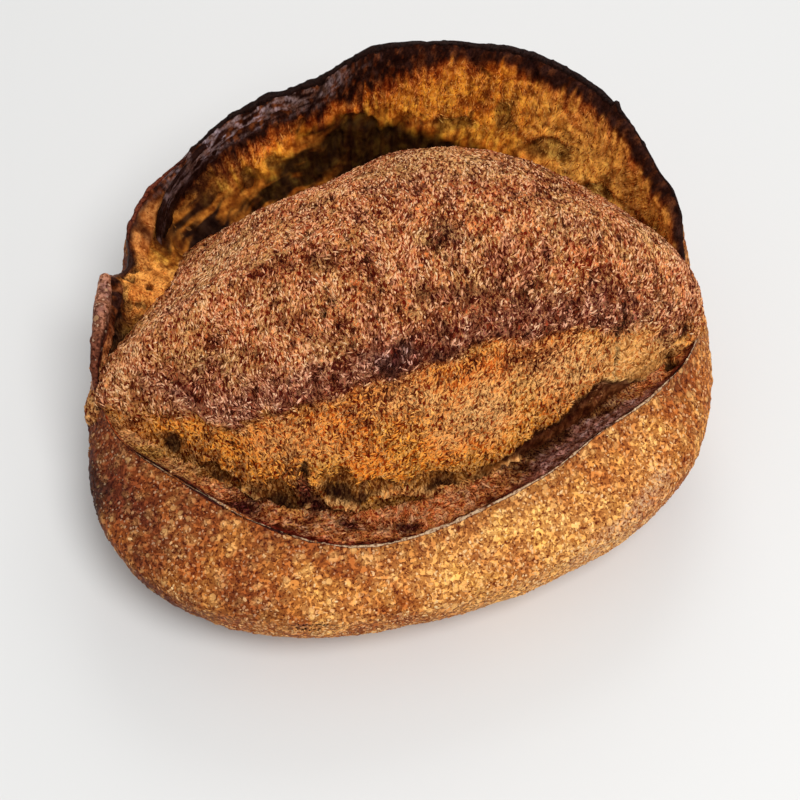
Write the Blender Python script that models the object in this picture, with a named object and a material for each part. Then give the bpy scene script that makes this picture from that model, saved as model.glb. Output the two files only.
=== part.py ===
"""Sourdough loaf: a round hearth loaf, slashed once from end to end.

The dough opened at the slash. The skin behind it lifted into a tall ear, the skin in front of it
stayed as a low lip, and the crumb between them bloomed into a high dome. The loaf is one piece.
The ear is at +Y, the lip at -Y, the slash runs along X, and the flat base lies on Z = 0.
"""

import math

import bmesh
import bpy
import numpy as np
from mathutils import Vector, noise

# Driving sizes, in metres.
BELLY_RADIUS = 0.1165  # mean radius at the widest level
BELLY_LEVEL = 0.038
LOBES = ((0.0091, 2, 12.7), (0.0053, 3, 4.0), (0.0040, 4, 46.7), (0.0017, 5, -9.7))  # size, count, degrees
CENTRE = Vector((-0.0059, 0.0030, 0))  # middle of the belly, which puts the box's middle over the origin
BASE_SHARE = 0.80  # flat base radius over belly radius
RIM_THICKNESS = 0.0045
FLOOR_LEVEL = 0.048  # inside of the bowl of crust, under the dome
GROOVE_SHARE = 0.035  # how far the groove runs in under the dome's foot, over the belly radius
DOME_TOP = 0.1165
DOME_APEX = (0.017, 0.016)  # from the belly's middle
DOME_UNDERSIDE = 0.030
FOLD_HEIGHT = 0.0022  # the dome's upper skin ends in a rolled fold this high
FOLD_WIDTH = 0.007
FOLD_ROLL = (0.5, 1.5)  # the roll stands this share higher, this many fold widths behind the edge
LUMP_SPACING = 0.034
LUMP_HEIGHT = 0.0010
LUMP_DETAIL = 2.3  # the finer lumps are this many times closer, and half as high
BASE_LEVEL = 0.012  # below this the lumps die out, towards the flat base

# How the bowl's section bends, as shares of the stretch that each belongs to.
BASE_TURN = 1.07  # the crust leaves the base level, out to this share of the base radius
BELLY_TURN = 0.4  # it reaches the belly upright, from this share of the belly's level
WALL_UPRIGHT = 0.45  # above the belly it stays upright for this share of its climb
WALL_LEAN = 0.3  # and it leans in to the rim over the last share of the climb
INNER_UPRIGHT = 0.5  # inside the rim it falls upright for this share of the drop
INNER_LEVEL = 0.3  # and it runs out level into the groove over this share of the shelf

# The rim, anticlockwise from +X: degrees, share of the belly radius, height in millimetres.
RIM = (
    (2, 0.94, 60), (9, 0.96, 66), (14, 0.94, 74), (17, 0.93, 91), (26, 0.92, 104), (38, 0.905, 116.5),
    (54, 0.89, 123.5), (70, 0.885, 127), (97, 0.885, 122), (107, 0.885, 108), (128, 0.885, 92.5),
    (139, 0.89, 79), (146, 0.96, 72), (158, 0.975, 66), (164, 0.985, 59), (170, 0.995, 64),
    (176, 0.995, 70), (188, 0.97, 69), (200, 0.905, 58), (215, 0.785, 60), (270, 0.81, 57),
    (312, 0.765, 62), (332, 0.765, 65), (346, 0.835, 63),
)
# The dome's foot: degrees, share of the belly radius, height of the groove round it in millimetres,
# and the power of the dome's side above it, where 0.5 is round and 1 is a parabola.
FOOT = (
    (8, 0.95, 55, 0.42), (25, 0.90, 58, 0.6), (50, 0.71, 62, 0.32), (90, 0.725, 62, 0.46),
    (130, 0.71, 58, 1.08), (160, 0.845, 54, 1.1), (185, 0.94, 52, 0.92), (200, 0.81, 52, 0.8),
    (215, 0.70, 50, 0.7), (240, 0.645, 49, 0.62), (270, 0.625, 49, 0.6), (300, 0.63, 50, 0.6),
    (330, 0.65, 51, 0.6), (345, 0.72, 52, 0.55),
)
# The fold across the dome, seen from above: X and Y in millimetres.
FOLD = ((-110, -28), (-90, -35), (-65, -43), (-40, -46), (0, -36), (45, -20), (90, -7), (120, 8))
# The ear's left end, a flap inside the rim: degrees, share of the belly radius, height in millimetres.
EAR_END = ((132, 0.87, 84), (141, 0.875, 79), (150, 0.875, 74))
EAR_END_FOOT = 0.050
EAR_END_TAPER = (1.2, 0.6)  # thickness at its foot and at its top edge, over the rim's

# How finely each shape is divided.
BOWL_SEGMENTS = 108
UNDER_STEPS, WALL_STEPS, RIM_STEPS, INNER_STEPS, FLOOR_STEPS = 5, 8, 4, 6, 2
DOME_SEGMENTS = 96
DOME_STEPS = 32
EAR_END_STEPS = (6, 5)


def smooth_step(value):
    value = np.clip(value, 0, 1)
    return value * value * (3 - 2 * value)


def around(stations, column, angle):
    """A smooth closed curve through one column of the stations, at each angle."""
    place = np.array([row[0] for row in stations], float)
    value = np.array([row[column] for row in stations], float)
    place = np.concatenate([place - 360, place, place + 360])
    value = np.tile(value, 3)
    slope = np.gradient(value, place)
    degrees = np.degrees(angle) % 360
    i = np.searchsorted(place, degrees, side="right") - 1
    step = place[i + 1] - place[i]
    t = (degrees - place[i]) / step
    bend = step * t * (1 - t) * (slope[i] * (1 - t) - slope[i + 1] * t)
    return value[i] + (value[i + 1] - value[i]) * smooth_step(t) + bend


def belly_radius(angle):
    waves = (size * np.cos(count * (angle - math.radians(degrees))) for size, count, degrees in LOBES)
    return BELLY_RADIUS + sum(waves)


def bezier(a, b, c, d, t):
    return a * (1 - t) ** 3 + 3 * b * t * (1 - t) ** 2 + 3 * c * t * t * (1 - t) + d * t**3


def at(angle, radius, height):
    """Points at a radius and height round the belly's middle."""
    x = CENTRE.x + radius * np.cos(angle)
    y = CENTRE.y + radius * np.sin(angle)
    return np.stack([x, y, np.broadcast_to(height, angle.shape)], axis=1)


def bowl_section(angle):
    """Points from the middle of the base, up the crust, over its rim and down to the floor inside."""
    belly = belly_radius(angle)
    base_r = BASE_SHARE * belly
    rim_r = around(RIM, 1, angle) * belly
    groove_r = (around(FOOT, 1, angle) - GROOVE_SHARE) * belly
    groove_z = around(FOOT, 2, angle) * 0.001
    half = RIM_THICKNESS / 2
    wall_top = around(RIM, 2, angle) * 0.001 - half
    climb = wall_top - BELLY_LEVEL
    inner_r = rim_r - RIM_THICKNESS
    shelf = inner_r - groove_r
    drop = wall_top - groove_z
    points = [at(angle, 0, 0), at(angle, 0.5 * base_r, 0)]
    for t in np.linspace(0, 1, UNDER_STEPS, endpoint=False):
        r = bezier(base_r, BASE_TURN * base_r, belly, belly, t)
        points.append(at(angle, r, bezier(0, 0, BELLY_TURN * BELLY_LEVEL, BELLY_LEVEL, t)))
    for t in np.linspace(0, 1, WALL_STEPS, endpoint=False):
        r = bezier(belly, belly, rim_r + WALL_LEAN * (belly - rim_r), rim_r, t)
        z = bezier(BELLY_LEVEL, BELLY_LEVEL + WALL_UPRIGHT * climb, wall_top - WALL_LEAN * climb, wall_top, t)
        points.append(at(angle, r, z))
    for t in np.linspace(0, math.pi, RIM_STEPS):
        points.append(at(angle, rim_r - half + half * math.cos(t), wall_top + half * math.sin(t)))
    for t in np.linspace(0, 1, INNER_STEPS + 1)[1:]:
        r = bezier(inner_r, inner_r, groove_r + INNER_LEVEL * shelf, groove_r, t)
        z = bezier(wall_top, wall_top - INNER_UPRIGHT * drop, groove_z, groove_z, t)
        points.append(at(angle, r, z))
    for t in np.linspace(0, 1, FLOOR_STEPS + 1)[1:]:
        points.append(at(angle, groove_r * (1 - t), groove_z + (FLOOR_LEVEL - groove_z) * t))
    return points


def dome_section(angle):
    """Points from the middle of the dome's underside, out to its foot and up to the apex."""
    foot = around(FOOT, 1, angle) * belly_radius(angle)
    power = around(FOOT, 3, angle)
    points = [at(angle, 0, DOME_UNDERSIDE), at(angle, foot, DOME_UNDERSIDE)]
    for t in np.linspace(0, 1, DOME_STEPS):
        out = math.cos(t * math.pi / 2)
        height = max(0.0, 1 - out**2) ** power
        side = at(angle, foot * out, FLOOR_LEVEL + (DOME_TOP - FLOOR_LEVEL) * height)
        side[:, :2] += np.array(DOME_APEX) * (1 - out)
        points.append(side)
    return points


def lumps(point):
    """Slow unevenness of the dough, from about -1 to 1."""
    place = point / LUMP_SPACING
    return noise.noise(place) + 0.5 * noise.noise(place * LUMP_DETAIL)


def raised(point, height):
    """The point moved outwards from the loaf's core, but less towards the flat base."""
    core = CENTRE + Vector((0, 0, FLOOR_LEVEL))
    outward = (point - core).normalized()
    outward.z = max(outward.z, 0)
    return point + outward * height * float(smooth_step(point.z / BASE_LEVEL))


def crust_point(point):
    return raised(point, LUMP_HEIGHT * lumps(point))


def dome_point(point):
    """The dome's skin, a step higher behind the fold than in front of it, and highest at the fold."""
    fold_x, fold_y = np.array(FOLD).T * 0.001
    behind = (point.y - np.interp(point.x, fold_x, fold_y)) / FOLD_WIDTH
    share, back = FOLD_ROLL
    fold = FOLD_HEIGHT * (float(smooth_step(behind)) + share * math.exp(-((behind - back) ** 2)))
    return raised(point, fold + LUMP_HEIGHT * lumps(point))


def new_object(name, bm, collection):
    bmesh.ops.recalc_face_normals(bm, faces=bm.faces)
    mesh = bpy.data.meshes.new(name)
    bm.to_mesh(mesh)
    bm.free()
    obj = bpy.data.objects.new(name, mesh)
    collection.objects.link(obj)
    return obj


def moulded(name, segments, section, finish, collection):
    """A ball whose rings of latitude are moved onto the section's points, bottom to top."""
    angle = np.arange(segments) * 2 * math.pi / segments
    points = section(angle)
    rings = len(points) - 1
    bm = bmesh.new()
    bmesh.ops.create_uvsphere(bm, u_segments=segments, v_segments=rings, radius=1)
    for vert in bm.verts:
        ring = round(math.acos(max(-1.0, min(1.0, -vert.co.z))) / math.pi * rings)
        segment = round(math.atan2(vert.co.y, vert.co.x) / (2 * math.pi) * segments) % segments
        vert.co = finish(Vector(points[ring][segment]))
    return new_object(name, bm, collection)


def ear_end(collection):
    """The ear's left end, which stands free inside the rim: a curved slab, thinner to its top edge."""
    along, up = EAR_END_STEPS
    thick, thin = EAR_END_TAPER
    place, share, top = np.array(EAR_END).T
    bm = bmesh.new()
    bmesh.ops.create_cube(bm, size=1)
    for axis, steps in ((0, along), (2, up)):
        edges = [e for e in bm.edges if abs((e.verts[0].co - e.verts[1].co)[axis]) > 0.5]
        bmesh.ops.subdivide_edges(bm, edges=edges, cuts=steps - 1, use_grid_fill=True)
    for vert in bm.verts:
        degrees = place[0] + (place[-1] - place[0]) * (vert.co.x + 0.5)
        angle = np.array([math.radians(degrees)])
        climb = vert.co.z + 0.5
        height = EAR_END_FOOT + (np.interp(degrees, place, top) * 0.001 - EAR_END_FOOT) * climb
        depth = vert.co.y * RIM_THICKNESS * (thick + (thin - thick) * climb)
        radius = np.interp(degrees, place, share) * belly_radius(angle) + depth
        vert.co = crust_point(Vector(at(angle, radius, height)[0]))
    return new_object("ear_end", bm, collection)


def crust_material():
    """Baked crust: brown, dull, and not metallic."""
    material = bpy.data.materials.new("baked_crust")
    material.use_nodes = True
    shader = material.node_tree.nodes["Principled BSDF"]
    shader.inputs["Base Color"].default_value = (0.28, 0.11, 0.035, 1)
    shader.inputs["Roughness"].default_value = 0.7
    shader.inputs["Metallic"].default_value = 0
    return material


def main():
    for obj in list(bpy.data.objects):
        bpy.data.objects.remove(obj)
    loaf_parts = bpy.data.collections.new("sourdough_loaf")
    joined = bpy.data.collections.new("joined")
    for collection in (loaf_parts, joined):
        bpy.context.scene.collection.children.link(collection)

    loaf = moulded("loaf", BOWL_SEGMENTS, bowl_section, crust_point, loaf_parts)
    moulded("dome", DOME_SEGMENTS, dome_section, dome_point, joined)
    ear_end(joined)

    union = loaf.modifiers.new("union", "BOOLEAN")
    union.operation = "UNION"
    union.operand_type = "COLLECTION"
    union.collection = joined
    union.solver = "EXACT"
    bpy.context.view_layer.update()
    whole = bpy.data.meshes.new_from_object(loaf.evaluated_get(bpy.context.evaluated_depsgraph_get()))
    loaf.modifiers.clear()
    loaf.data = whole
    for obj in list(joined.objects):
        bpy.data.objects.remove(obj)
    bpy.data.collections.remove(joined)

    whole.materials.clear()
    whole.materials.append(crust_material())


main()
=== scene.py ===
# %% [markdown]
# Sourdough loaf, the looks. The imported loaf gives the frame: one solid, with its flat base on Z = 0, the tall
# ear at +Y and the low lip at -Y. The looks stand on the same driving sizes as that solid, so every finer
# surface lies where the solid lies. Four closed shapes replace it: the bowl of crust, the torn crumb that lines
# it, the ear's free end, and the bloom of crumb that rose in the middle. Three kinds of small things cover them:
# bran flecks, strokes of dried skin and fibres of crumb.

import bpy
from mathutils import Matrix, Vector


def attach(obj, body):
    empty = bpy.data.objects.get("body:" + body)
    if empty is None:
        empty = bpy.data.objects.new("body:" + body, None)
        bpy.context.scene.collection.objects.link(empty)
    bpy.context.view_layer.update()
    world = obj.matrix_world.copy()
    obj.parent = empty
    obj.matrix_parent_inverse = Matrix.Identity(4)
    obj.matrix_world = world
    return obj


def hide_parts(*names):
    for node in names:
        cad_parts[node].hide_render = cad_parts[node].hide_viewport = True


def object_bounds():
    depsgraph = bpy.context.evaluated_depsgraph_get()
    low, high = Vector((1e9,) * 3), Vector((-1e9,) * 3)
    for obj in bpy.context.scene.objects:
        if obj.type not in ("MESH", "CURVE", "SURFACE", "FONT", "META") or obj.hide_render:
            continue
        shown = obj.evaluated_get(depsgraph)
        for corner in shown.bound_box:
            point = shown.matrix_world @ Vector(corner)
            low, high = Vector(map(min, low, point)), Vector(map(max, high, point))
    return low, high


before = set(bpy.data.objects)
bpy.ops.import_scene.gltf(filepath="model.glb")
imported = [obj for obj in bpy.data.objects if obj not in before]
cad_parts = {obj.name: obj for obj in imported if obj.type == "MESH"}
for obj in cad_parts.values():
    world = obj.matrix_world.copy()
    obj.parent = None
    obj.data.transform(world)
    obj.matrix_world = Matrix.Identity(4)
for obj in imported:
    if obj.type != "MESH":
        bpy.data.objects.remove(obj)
solid_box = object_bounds()
print("nodes:", sorted(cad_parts))
print("solid's box:", solid_box)

# %% [markdown]
# The camera looks down at the lip, from in front of the loaf and above it. A narrow view keeps the loaf's
# proportions nearly as they are. It is placed by its angle above the floor and its distance, which were found by
# matching the loaf's outline.

# %% Camera
import itertools
import math

import bmesh
import bpy
import numpy as np
from mathutils import Vector

VIEW_DEGREES = 28.0
CAMERA_RISE = 57.0  # degrees above the floor
CAMERA_DISTANCE = 0.62
CAMERA_TARGET = Vector((-0.0018, -0.0058, 0.05))
CAMERA_SHIFT_Y = -0.035  # the target shows a little above the middle of the frame
SENSOR_MM = 36


def placed(name, data):
    """An object with that data, put into the scene."""
    piece = bpy.data.objects.new(name, data)
    bpy.context.scene.collection.objects.link(piece)
    return piece


tilt = math.radians(CAMERA_RISE)
back = Vector((0, -math.cos(tilt), math.sin(tilt)))
lens_data = bpy.data.cameras.new("camera")
lens_data.sensor_width = SENSOR_MM
lens_data.lens = SENSOR_MM / 2 / math.tan(math.radians(VIEW_DEGREES / 2))
lens_data.shift_y = CAMERA_SHIFT_Y
camera = placed("camera", lens_data)
camera.location = CAMERA_TARGET + back * CAMERA_DISTANCE
camera.rotation_euler = (-back).to_track_quat("-Z", "Y").to_euler()
bpy.context.scene.camera = camera
print("camera at", tuple(round(value, 3) for value in camera.location))

# %% [markdown]
# Colours are given as sRGB hex values, the way they are read from a screen. One function turns them linear,
# because shaders reckon in linear light, and one relights a tint, because baked skin is redder where it is dark
# and paler where it is bright. One more adds a node with its settings and links, so that a material reads as a
# list of what it is made of.

# %% Colour and node helpers
FULL = 0.95  # the brightest that a channel of a tint may be
# Powers of a gain for red, green and blue, below 1 and above it.
DARKER, BRIGHTER = (1, 1.8, 2.6), (1, 1.35, 1.65)


def linear(hex_colour):
    """The linear colour of an sRGB hex value such as #754123."""
    srgb = np.array([int(hex_colour[i : i + 2], 16) for i in (1, 3, 5)]) / 255
    return np.where(srgb <= 0.04045, srgb / 12.92, ((srgb + 0.055) / 1.055) ** 2.4)


def relit(tint, gain):
    """A tint at a gain that stops where its brightest channel is full; darker is redder, brighter is paler."""
    gain = np.minimum(gain, FULL / tint.max(axis=1))[:, None]
    return tint * np.where(gain < 1, gain ** np.array(DARKER), gain ** np.array(BRIGHTER))


def rgba(hex_colour):
    return (*linear(hex_colour), 1.0)


def plug(material, node, sockets):
    """Gives each named or numbered socket of a node its value or its link."""
    for socket, value in sockets.items():
        if isinstance(value, bpy.types.NodeSocket):
            material.node_tree.links.new(value, node.inputs[socket])
        else:
            node.inputs[socket].default_value = value


def add(material, kind, sockets, **settings):
    """A new node with its settings and its sockets' values or links."""
    node = material.node_tree.nodes.new("ShaderNode" + kind)
    for name, value in settings.items():
        setattr(node, name, value)
    plug(material, node, sockets)
    return node


def new_material(name):
    """An empty material and its shader."""
    material = bpy.data.materials.new(name)
    material.use_nodes = True
    return material, material.node_tree.nodes["Principled BSDF"]


print("crust brown is", linear("#754123").round(3))

# %% [markdown]
# The floor is a plain pale sheet, and the light is soft, as from a large window: one broad lamp high up, a
# little to the right and in front, so that the ear's torn inside is lit and the left end falls into shade. A
# weaker lamp behind gives the charred skins their grey sheen, and an even white sky fills the shadows.

# %% Floor and light
FLOOR_REACH = 4.0
# Each lamp: its name, place, size across and power.
LAMPS = (
    ("window", Vector((0.30, -0.48, 1.15)), 0.60, 10.8),
    ("back_window", Vector((0.10, 1.05, 0.85)), 0.80, 4.6),
)
SKY_STRENGTH = 0.55

paper, paper_shader = new_material("matt_paper")
paper_shader.inputs["Base Color"].default_value = rgba("#dadad9")
paper_shader.inputs["Roughness"].default_value = 0.9
bm = bmesh.new()
bmesh.ops.create_grid(bm, x_segments=1, y_segments=1, size=FLOOR_REACH)
floor_mesh = bpy.data.meshes.new("floor")
bm.to_mesh(floor_mesh)
bm.free()
floor_mesh.materials.append(paper)
floor = placed("floor", floor_mesh)

for name, place, size, watts in LAMPS:
    lamp_data = bpy.data.lights.new(name, "AREA")
    lamp_data.shape = "DISK"
    lamp_data.size = size
    lamp_data.energy = watts
    lamp = placed(name, lamp_data)
    lamp.location = place
    lamp.rotation_euler = (CAMERA_TARGET - place).to_track_quat("-Z", "Y").to_euler()

sky = bpy.data.worlds.new("sky")
sky.use_nodes = True
sky.node_tree.nodes["Background"].inputs["Color"].default_value = (1, 1, 1, 1)
sky.node_tree.nodes["Background"].inputs["Strength"].default_value = SKY_STRENGTH
bpy.context.scene.world = sky
bpy.context.scene.view_settings.view_transform = "Standard"
print(len(LAMPS), "lamps, sky", SKY_STRENGTH)

# %% [markdown]
# The loaf's driving sizes. Round the loaf the rim, the dome's foot and the charring change, so each is a short
# list of stations by angle, and a smooth closed curve runs through them. Angles run anticlockwise from +X round
# the belly's middle.

# %% Driving sizes
MM = 0.001
BELLY_RADIUS = 0.1165
BELLY_LEVEL = 0.038
LOBES = ((0.0091, 2, 12.7), (0.0053, 3, 4.0), (0.0040, 4, 46.7), (0.0017, 5, -9.7))  # size, count, degrees
CENTRE = np.array([-0.0059, 0.0030, 0])
BASE_SHARE = 0.80
RIM_THICKNESS = 0.0045
FLOOR_LEVEL = 0.048
GROOVE_SHARE = 0.035
DOME_TOP = 0.1165
DOME_APEX = (0.017, 0.016)
DOME_UNDERSIDE = 0.030

# How the crust's section bends, as shares of the stretch that each belongs to.
BASE_TURN = 1.07
BELLY_TURN = 0.4
WALL_UPRIGHT = 0.45
WALL_LEAN = 0.3
INNER_UPRIGHT = 0.5
INNER_LEVEL = 0.3

# The rim: degrees, share of the belly radius, height in millimetres.
RIM = (
    (2, 0.94, 60), (9, 0.955, 66), (14, 0.93, 74), (17, 0.918, 91), (26, 0.903, 103), (38, 0.895, 115.5),
    (54, 0.885, 123.5), (70, 0.885, 127), (97, 0.885, 122), (107, 0.885, 108), (128, 0.885, 92.5),
    (139, 0.905, 79.5), (147, 0.94, 74.5), (152, 0.955, 70), (156.5, 0.96, 66), (160, 0.94, 59.5),
    (164, 0.97, 60), (168, 0.99, 69.5), (174, 0.995, 71), (180, 0.99, 70), (186, 0.98, 65.5),
    (190.5, 0.965, 60), (200, 0.905, 57.5), (215, 0.785, 60), (270, 0.81, 57),
    (312, 0.765, 62), (332, 0.765, 65), (346, 0.835, 63),
)
# The dome's foot: degrees, share of the belly radius, height of the groove in millimetres, power of the side.
FOOT = (
    (8, 0.95, 55, 0.42), (25, 0.90, 58, 0.6), (50, 0.71, 62, 0.32), (90, 0.725, 62, 0.46),
    (130, 0.71, 58, 1.08), (150, 0.79, 54, 1.1), (160, 0.83, 57, 1.1), (168, 0.86, 55, 1.05),
    (176, 0.90, 50, 0.98), (182, 0.94, 51, 0.9), (188, 0.97, 56, 0.78), (196, 0.945, 55.5, 0.76),
    (204, 0.82, 52, 0.78), (215, 0.70, 50, 0.7), (240, 0.645, 49, 0.62), (270, 0.625, 49, 0.6),
    (300, 0.63, 50, 0.6), (330, 0.65, 51, 0.6), (345, 0.72, 52, 0.55),
)
# The fold across the dome, seen from above: X and Y in millimetres.
FOLD = ((-110, -28), (-90, -35), (-65, -43), (-40, -46), (0, -36), (45, -20), (90, -7), (120, 8))
# How far the charring runs down inside the rim: degrees, millimetres.
CHAR = (
    (2, 2.5), (14, 5), (20, 7), (40, 7), (55, 8.5), (66, 6), (73, 5.5), (80, 9), (86, 13), (92, 15), (100, 15),
    (110, 14), (128, 13), (138, 12), (148, 4), (158, 3), (166, 4), (172, 10), (182, 9), (188, 1), (198, 0.5),
    (215, 2), (232, 5), (250, 5), (262, 3), (290, 2), (306, 6), (314, 12), (343, 12.5), (350, 4),
)
print(len(RIM), "rim stations,", len(FOOT), "foot stations,", len(CHAR), "char stations")

# %% [markdown]
# Every curve is worked out for all its points at once with arrays, because a crust this fine has about a hundred
# thousand points in each shape. The section functions are those of the solid, cut into far more steps.

# %% Curves
def smooth(value):
    """From 0 to 1 as the value does, but easing in and out, and level beyond."""
    value = np.clip(value, 0, 1)
    return value * value * (3 - 2 * value)


def rise(value, start, length):
    """From 0 where the value is at the start to 1 a length above it."""
    return smooth((value - start) / length)


def fall(value, start, length):
    """From 0 where the value is at the start to 1 a length below it."""
    return smooth((start - value) / length)


def bell(value, middle, width, power=2):
    """1 at the middle, and nearly 0 beyond the width."""
    return np.exp(-(((value - middle) / width) ** power))


def around(stations, column, angle):
    """A smooth closed curve through one column of the stations, at each angle."""
    place = np.array([row[0] for row in stations], float)
    value = np.array([row[column] for row in stations], float)
    place = np.concatenate([place - 360, place, place + 360])
    value = np.tile(value, 3)
    slope = np.gradient(value, place)
    degrees = np.degrees(angle) % 360
    i = np.searchsorted(place, degrees, side="right") - 1
    step = place[i + 1] - place[i]
    t = (degrees - place[i]) / step
    bend = step * t * (1 - t) * (slope[i] * (1 - t) - slope[i + 1] * t)
    return value[i] + (value[i + 1] - value[i]) * smooth(t) + bend


def belly_radius(angle):
    waves = (size * np.cos(count * (angle - math.radians(degrees))) for size, count, degrees in LOBES)
    return BELLY_RADIUS + sum(waves)


def bezier(a, b, c, d, t):
    return a * (1 - t) ** 3 + 3 * b * t * (1 - t) ** 2 + 3 * c * t * t * (1 - t) + d * t**3


def at(angle, radius, height):
    """Points at a radius and height round the belly's middle."""
    x = CENTRE[0] + radius * np.cos(angle)
    y = CENTRE[1] + radius * np.sin(angle)
    return np.stack([x, y, np.broadcast_to(height, angle.shape)], axis=1)


print("belly radius at +X:", round(float(belly_radius(0.0)) * 1000, 1), "mm")

# %% [markdown]
# Bread is uneven at every scale, and each scale has its own cause: lumps of dough, blisters of gas, pores, the
# fibres where it tore. Most of it is given by swells: smooth bumps of one size, with smaller ones on them. They
# are built on a fixed scramble of whole numbers, so the loaf comes out the same every time.

# %% Uneven surfaces
TURN = np.array([[0.36, 0.48, -0.8], [-0.8, 0.6, 0.0], [0.48, 0.64, 0.6]])  # turns a field off the axes


def chance(x, y, z, salt=0):
    """A number from 0 to 1 for each whole-numbered cell, always the same one."""
    n = (x * 73856093 ^ y * 19349663 ^ z * 83492791 ^ salt * 668265263) & 0xFFFFFFFF
    n = ((n ^ (n >> 13)) * 1274126177) & 0xFFFFFFFF
    n = ((n ^ (n >> 16)) * 1103515245) & 0xFFFFFFFF
    return ((n ^ (n >> 15)) & 0xFFFFFF) / 0xFFFFFF


def swell(points, size, salt=0):
    """Smooth bumps from -1 to 1 of about that size."""
    place = (points / size).T
    low = np.floor(place)
    t = smooth(place - low)
    cell = low.astype(np.int64)
    total = 0
    for i, j, k in itertools.product((0, 1), repeat=3):
        weight = (t[0] if i else 1 - t[0]) * (t[1] if j else 1 - t[1]) * (t[2] if k else 1 - t[2])
        total = total + weight * chance(cell[0] + i, cell[1] + j, cell[2] + k, salt)
    return 2 * total - 1


def swells(points, size_mm, octaves, salt=0):
    """Swells on smaller swells, each half as high; a size for each axis keeps them on the axes."""
    total = 0
    for octave in range(octaves):
        total = total + swell(points, np.asarray(size_mm) * MM / 2**octave, salt + octave) / 2**octave
        points = points @ TURN if np.ndim(size_mm) == 0 else points
    return total / (2 - 0.5 ** (octaves - 1))


def ridges(points, size_mm, octaves, salt, slope=2):
    """Narrow ridges, 1 along their crests, where the swells pass their middle value."""
    return 1 - slope * np.abs(swells(points, size_mm, octaves, salt))


def wavy(points, reach_mm, size_mm, octaves, salt):
    """The points pushed aside by swells, so that a form worked out on them has an uneven outline."""
    return points + reach_mm * MM * swells(points, size_mm, octaves, salt)[:, None]


print("one swell:", swell(np.array([[0.3, 0.7, 0.2]]), 1.0).round(3))

# %% [markdown]
# Pores and blisters are round things of their own, so they come from cells: centres scattered through space, each
# with a number of its own, and the distance to the nearest. A crack or a ridge follows a path instead, and there
# the distance to the path counts.

# %% Centres and paths
FAR = 9.0  # a distance beyond every centre and every path


def cells(points, size_mm, salt=0):
    """The distance to the nearest of the scattered centres, and that one's own number from 0 to 1."""
    place = (points / (np.asarray(size_mm) * MM)).T
    low = np.floor(place)
    within = place - low
    cell = low.astype(np.int64)
    nearest = np.full(len(points), FAR)
    own = np.zeros(len(points))
    for i, j, k in itertools.product((-1, 0, 1), repeat=3):
        there = (cell[0] + i, cell[1] + j, cell[2] + k)
        aside = [step + chance(*there, salt + 11 + axis) - within[axis] for axis, step in enumerate((i, j, k))]
        gap = np.sqrt(aside[0] ** 2 + aside[1] ** 2 + aside[2] ** 2)
        own = np.where(gap < nearest, chance(*there, salt + 14), own)
        nearest = np.minimum(nearest, gap)
    return nearest, own


def path_gap(points, path_mm):
    """Each point's distance, seen from above, to a path through places given in millimetres."""
    path = np.array(path_mm, float) * MM
    nearest = np.full(len(points), FAR)
    for start, end in zip(path[:-1], path[1:]):
        along = end - start
        share = np.clip(((points[:, :2] - start) @ along) / (along @ along), 0, 1)
        nearest = np.minimum(nearest, np.linalg.norm(points[:, :2] - start - share[:, None] * along, axis=1))
    return nearest


print("nearest centre:", cells(CENTRE[None], 5)[0].round(3))

# %% [markdown]
# A ball is the right start for three of the shapes, because each is one closed skin with no hole through it. The
# ball's rings of latitude are moved onto the section's points, from the bottom pole to the top one, and its
# meridians onto the angles round the loaf. Then the relief moves every point along the skin's own normal. The
# box of the solid is the limit: a bump that would leave it is cut back.

# %% Moulding
def coordinates(mesh, vectors=None):
    """Each point's place, or the given vector of each point, such as its normal."""
    flat = np.empty(len(mesh.vertices) * 3, np.float32)
    (vectors or mesh.attributes["position"].data).foreach_get("vector", flat)
    return flat.reshape(-1, 3).astype(float)


def surface(mesh):
    """Each point's place and its normal."""
    return coordinates(mesh), coordinates(mesh, mesh.vertex_normals)


def place_points(mesh, points):
    """Moves the mesh's points, but never out of the solid's box."""
    low, high = (np.array(corner) for corner in solid_box)
    points = np.clip(points, low, high)
    mesh.attributes["position"].data.foreach_set("vector", points.astype(np.float32).ravel())
    mesh.update()


def ball(name, segments, rings):
    """A closed ball: a grid sewn together along its two sides, with its two ends drawn shut."""
    bm = bmesh.new()
    bmesh.ops.create_grid(bm, x_segments=segments, y_segments=rings, size=1)
    seam = {}
    for vert in bm.verts:
        if abs(vert.co.x) > 1 - 0.5 / segments:
            seam.setdefault(round((vert.co.y + 1) / 2 * rings), {})[vert.co.x > 0] = vert
    bmesh.ops.weld_verts(bm, targetmap={sides[True]: sides[False] for sides in seam.values()})
    for end in (-1, 1):
        pole = [vert for vert in bm.verts if abs(vert.co.y - end) < 0.5 / rings]
        bmesh.ops.pointmerge(bm, verts=pole, merge_co=pole[0].co)
    mesh = bpy.data.meshes.new(name)
    bm.to_mesh(mesh)
    bm.free()
    return mesh


def moulded(name, segments, section):
    """A ball moved onto the section: its mesh, and each point's angle and ring."""
    angle = np.arange(segments) * 2 * math.pi / segments
    points = np.stack(section(angle))
    rings = len(points) - 1
    mesh = ball(name, segments, rings)
    grid = coordinates(mesh)
    segment = np.rint((grid[:, 0] + 1) / 2 * segments).astype(int) % segments
    ring = np.rint((grid[:, 1] + 1) / 2 * rings).astype(int)
    place_points(mesh, points[ring, segment])
    mesh.shade_smooth()
    return mesh, angle[segment], ring


print("every point stays within", [tuple(round(value, 3) for value in corner) for corner in solid_box])

# %% [markdown]
# A baked skin's colour changes from place to place, so each shape is painted point by point. A tint starts as
# one colour, and others are laid over it, each by a weight that is worked out for every point from its place and
# its relief. Image textures could do this too, but these tints follow the shape and take no files.

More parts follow.
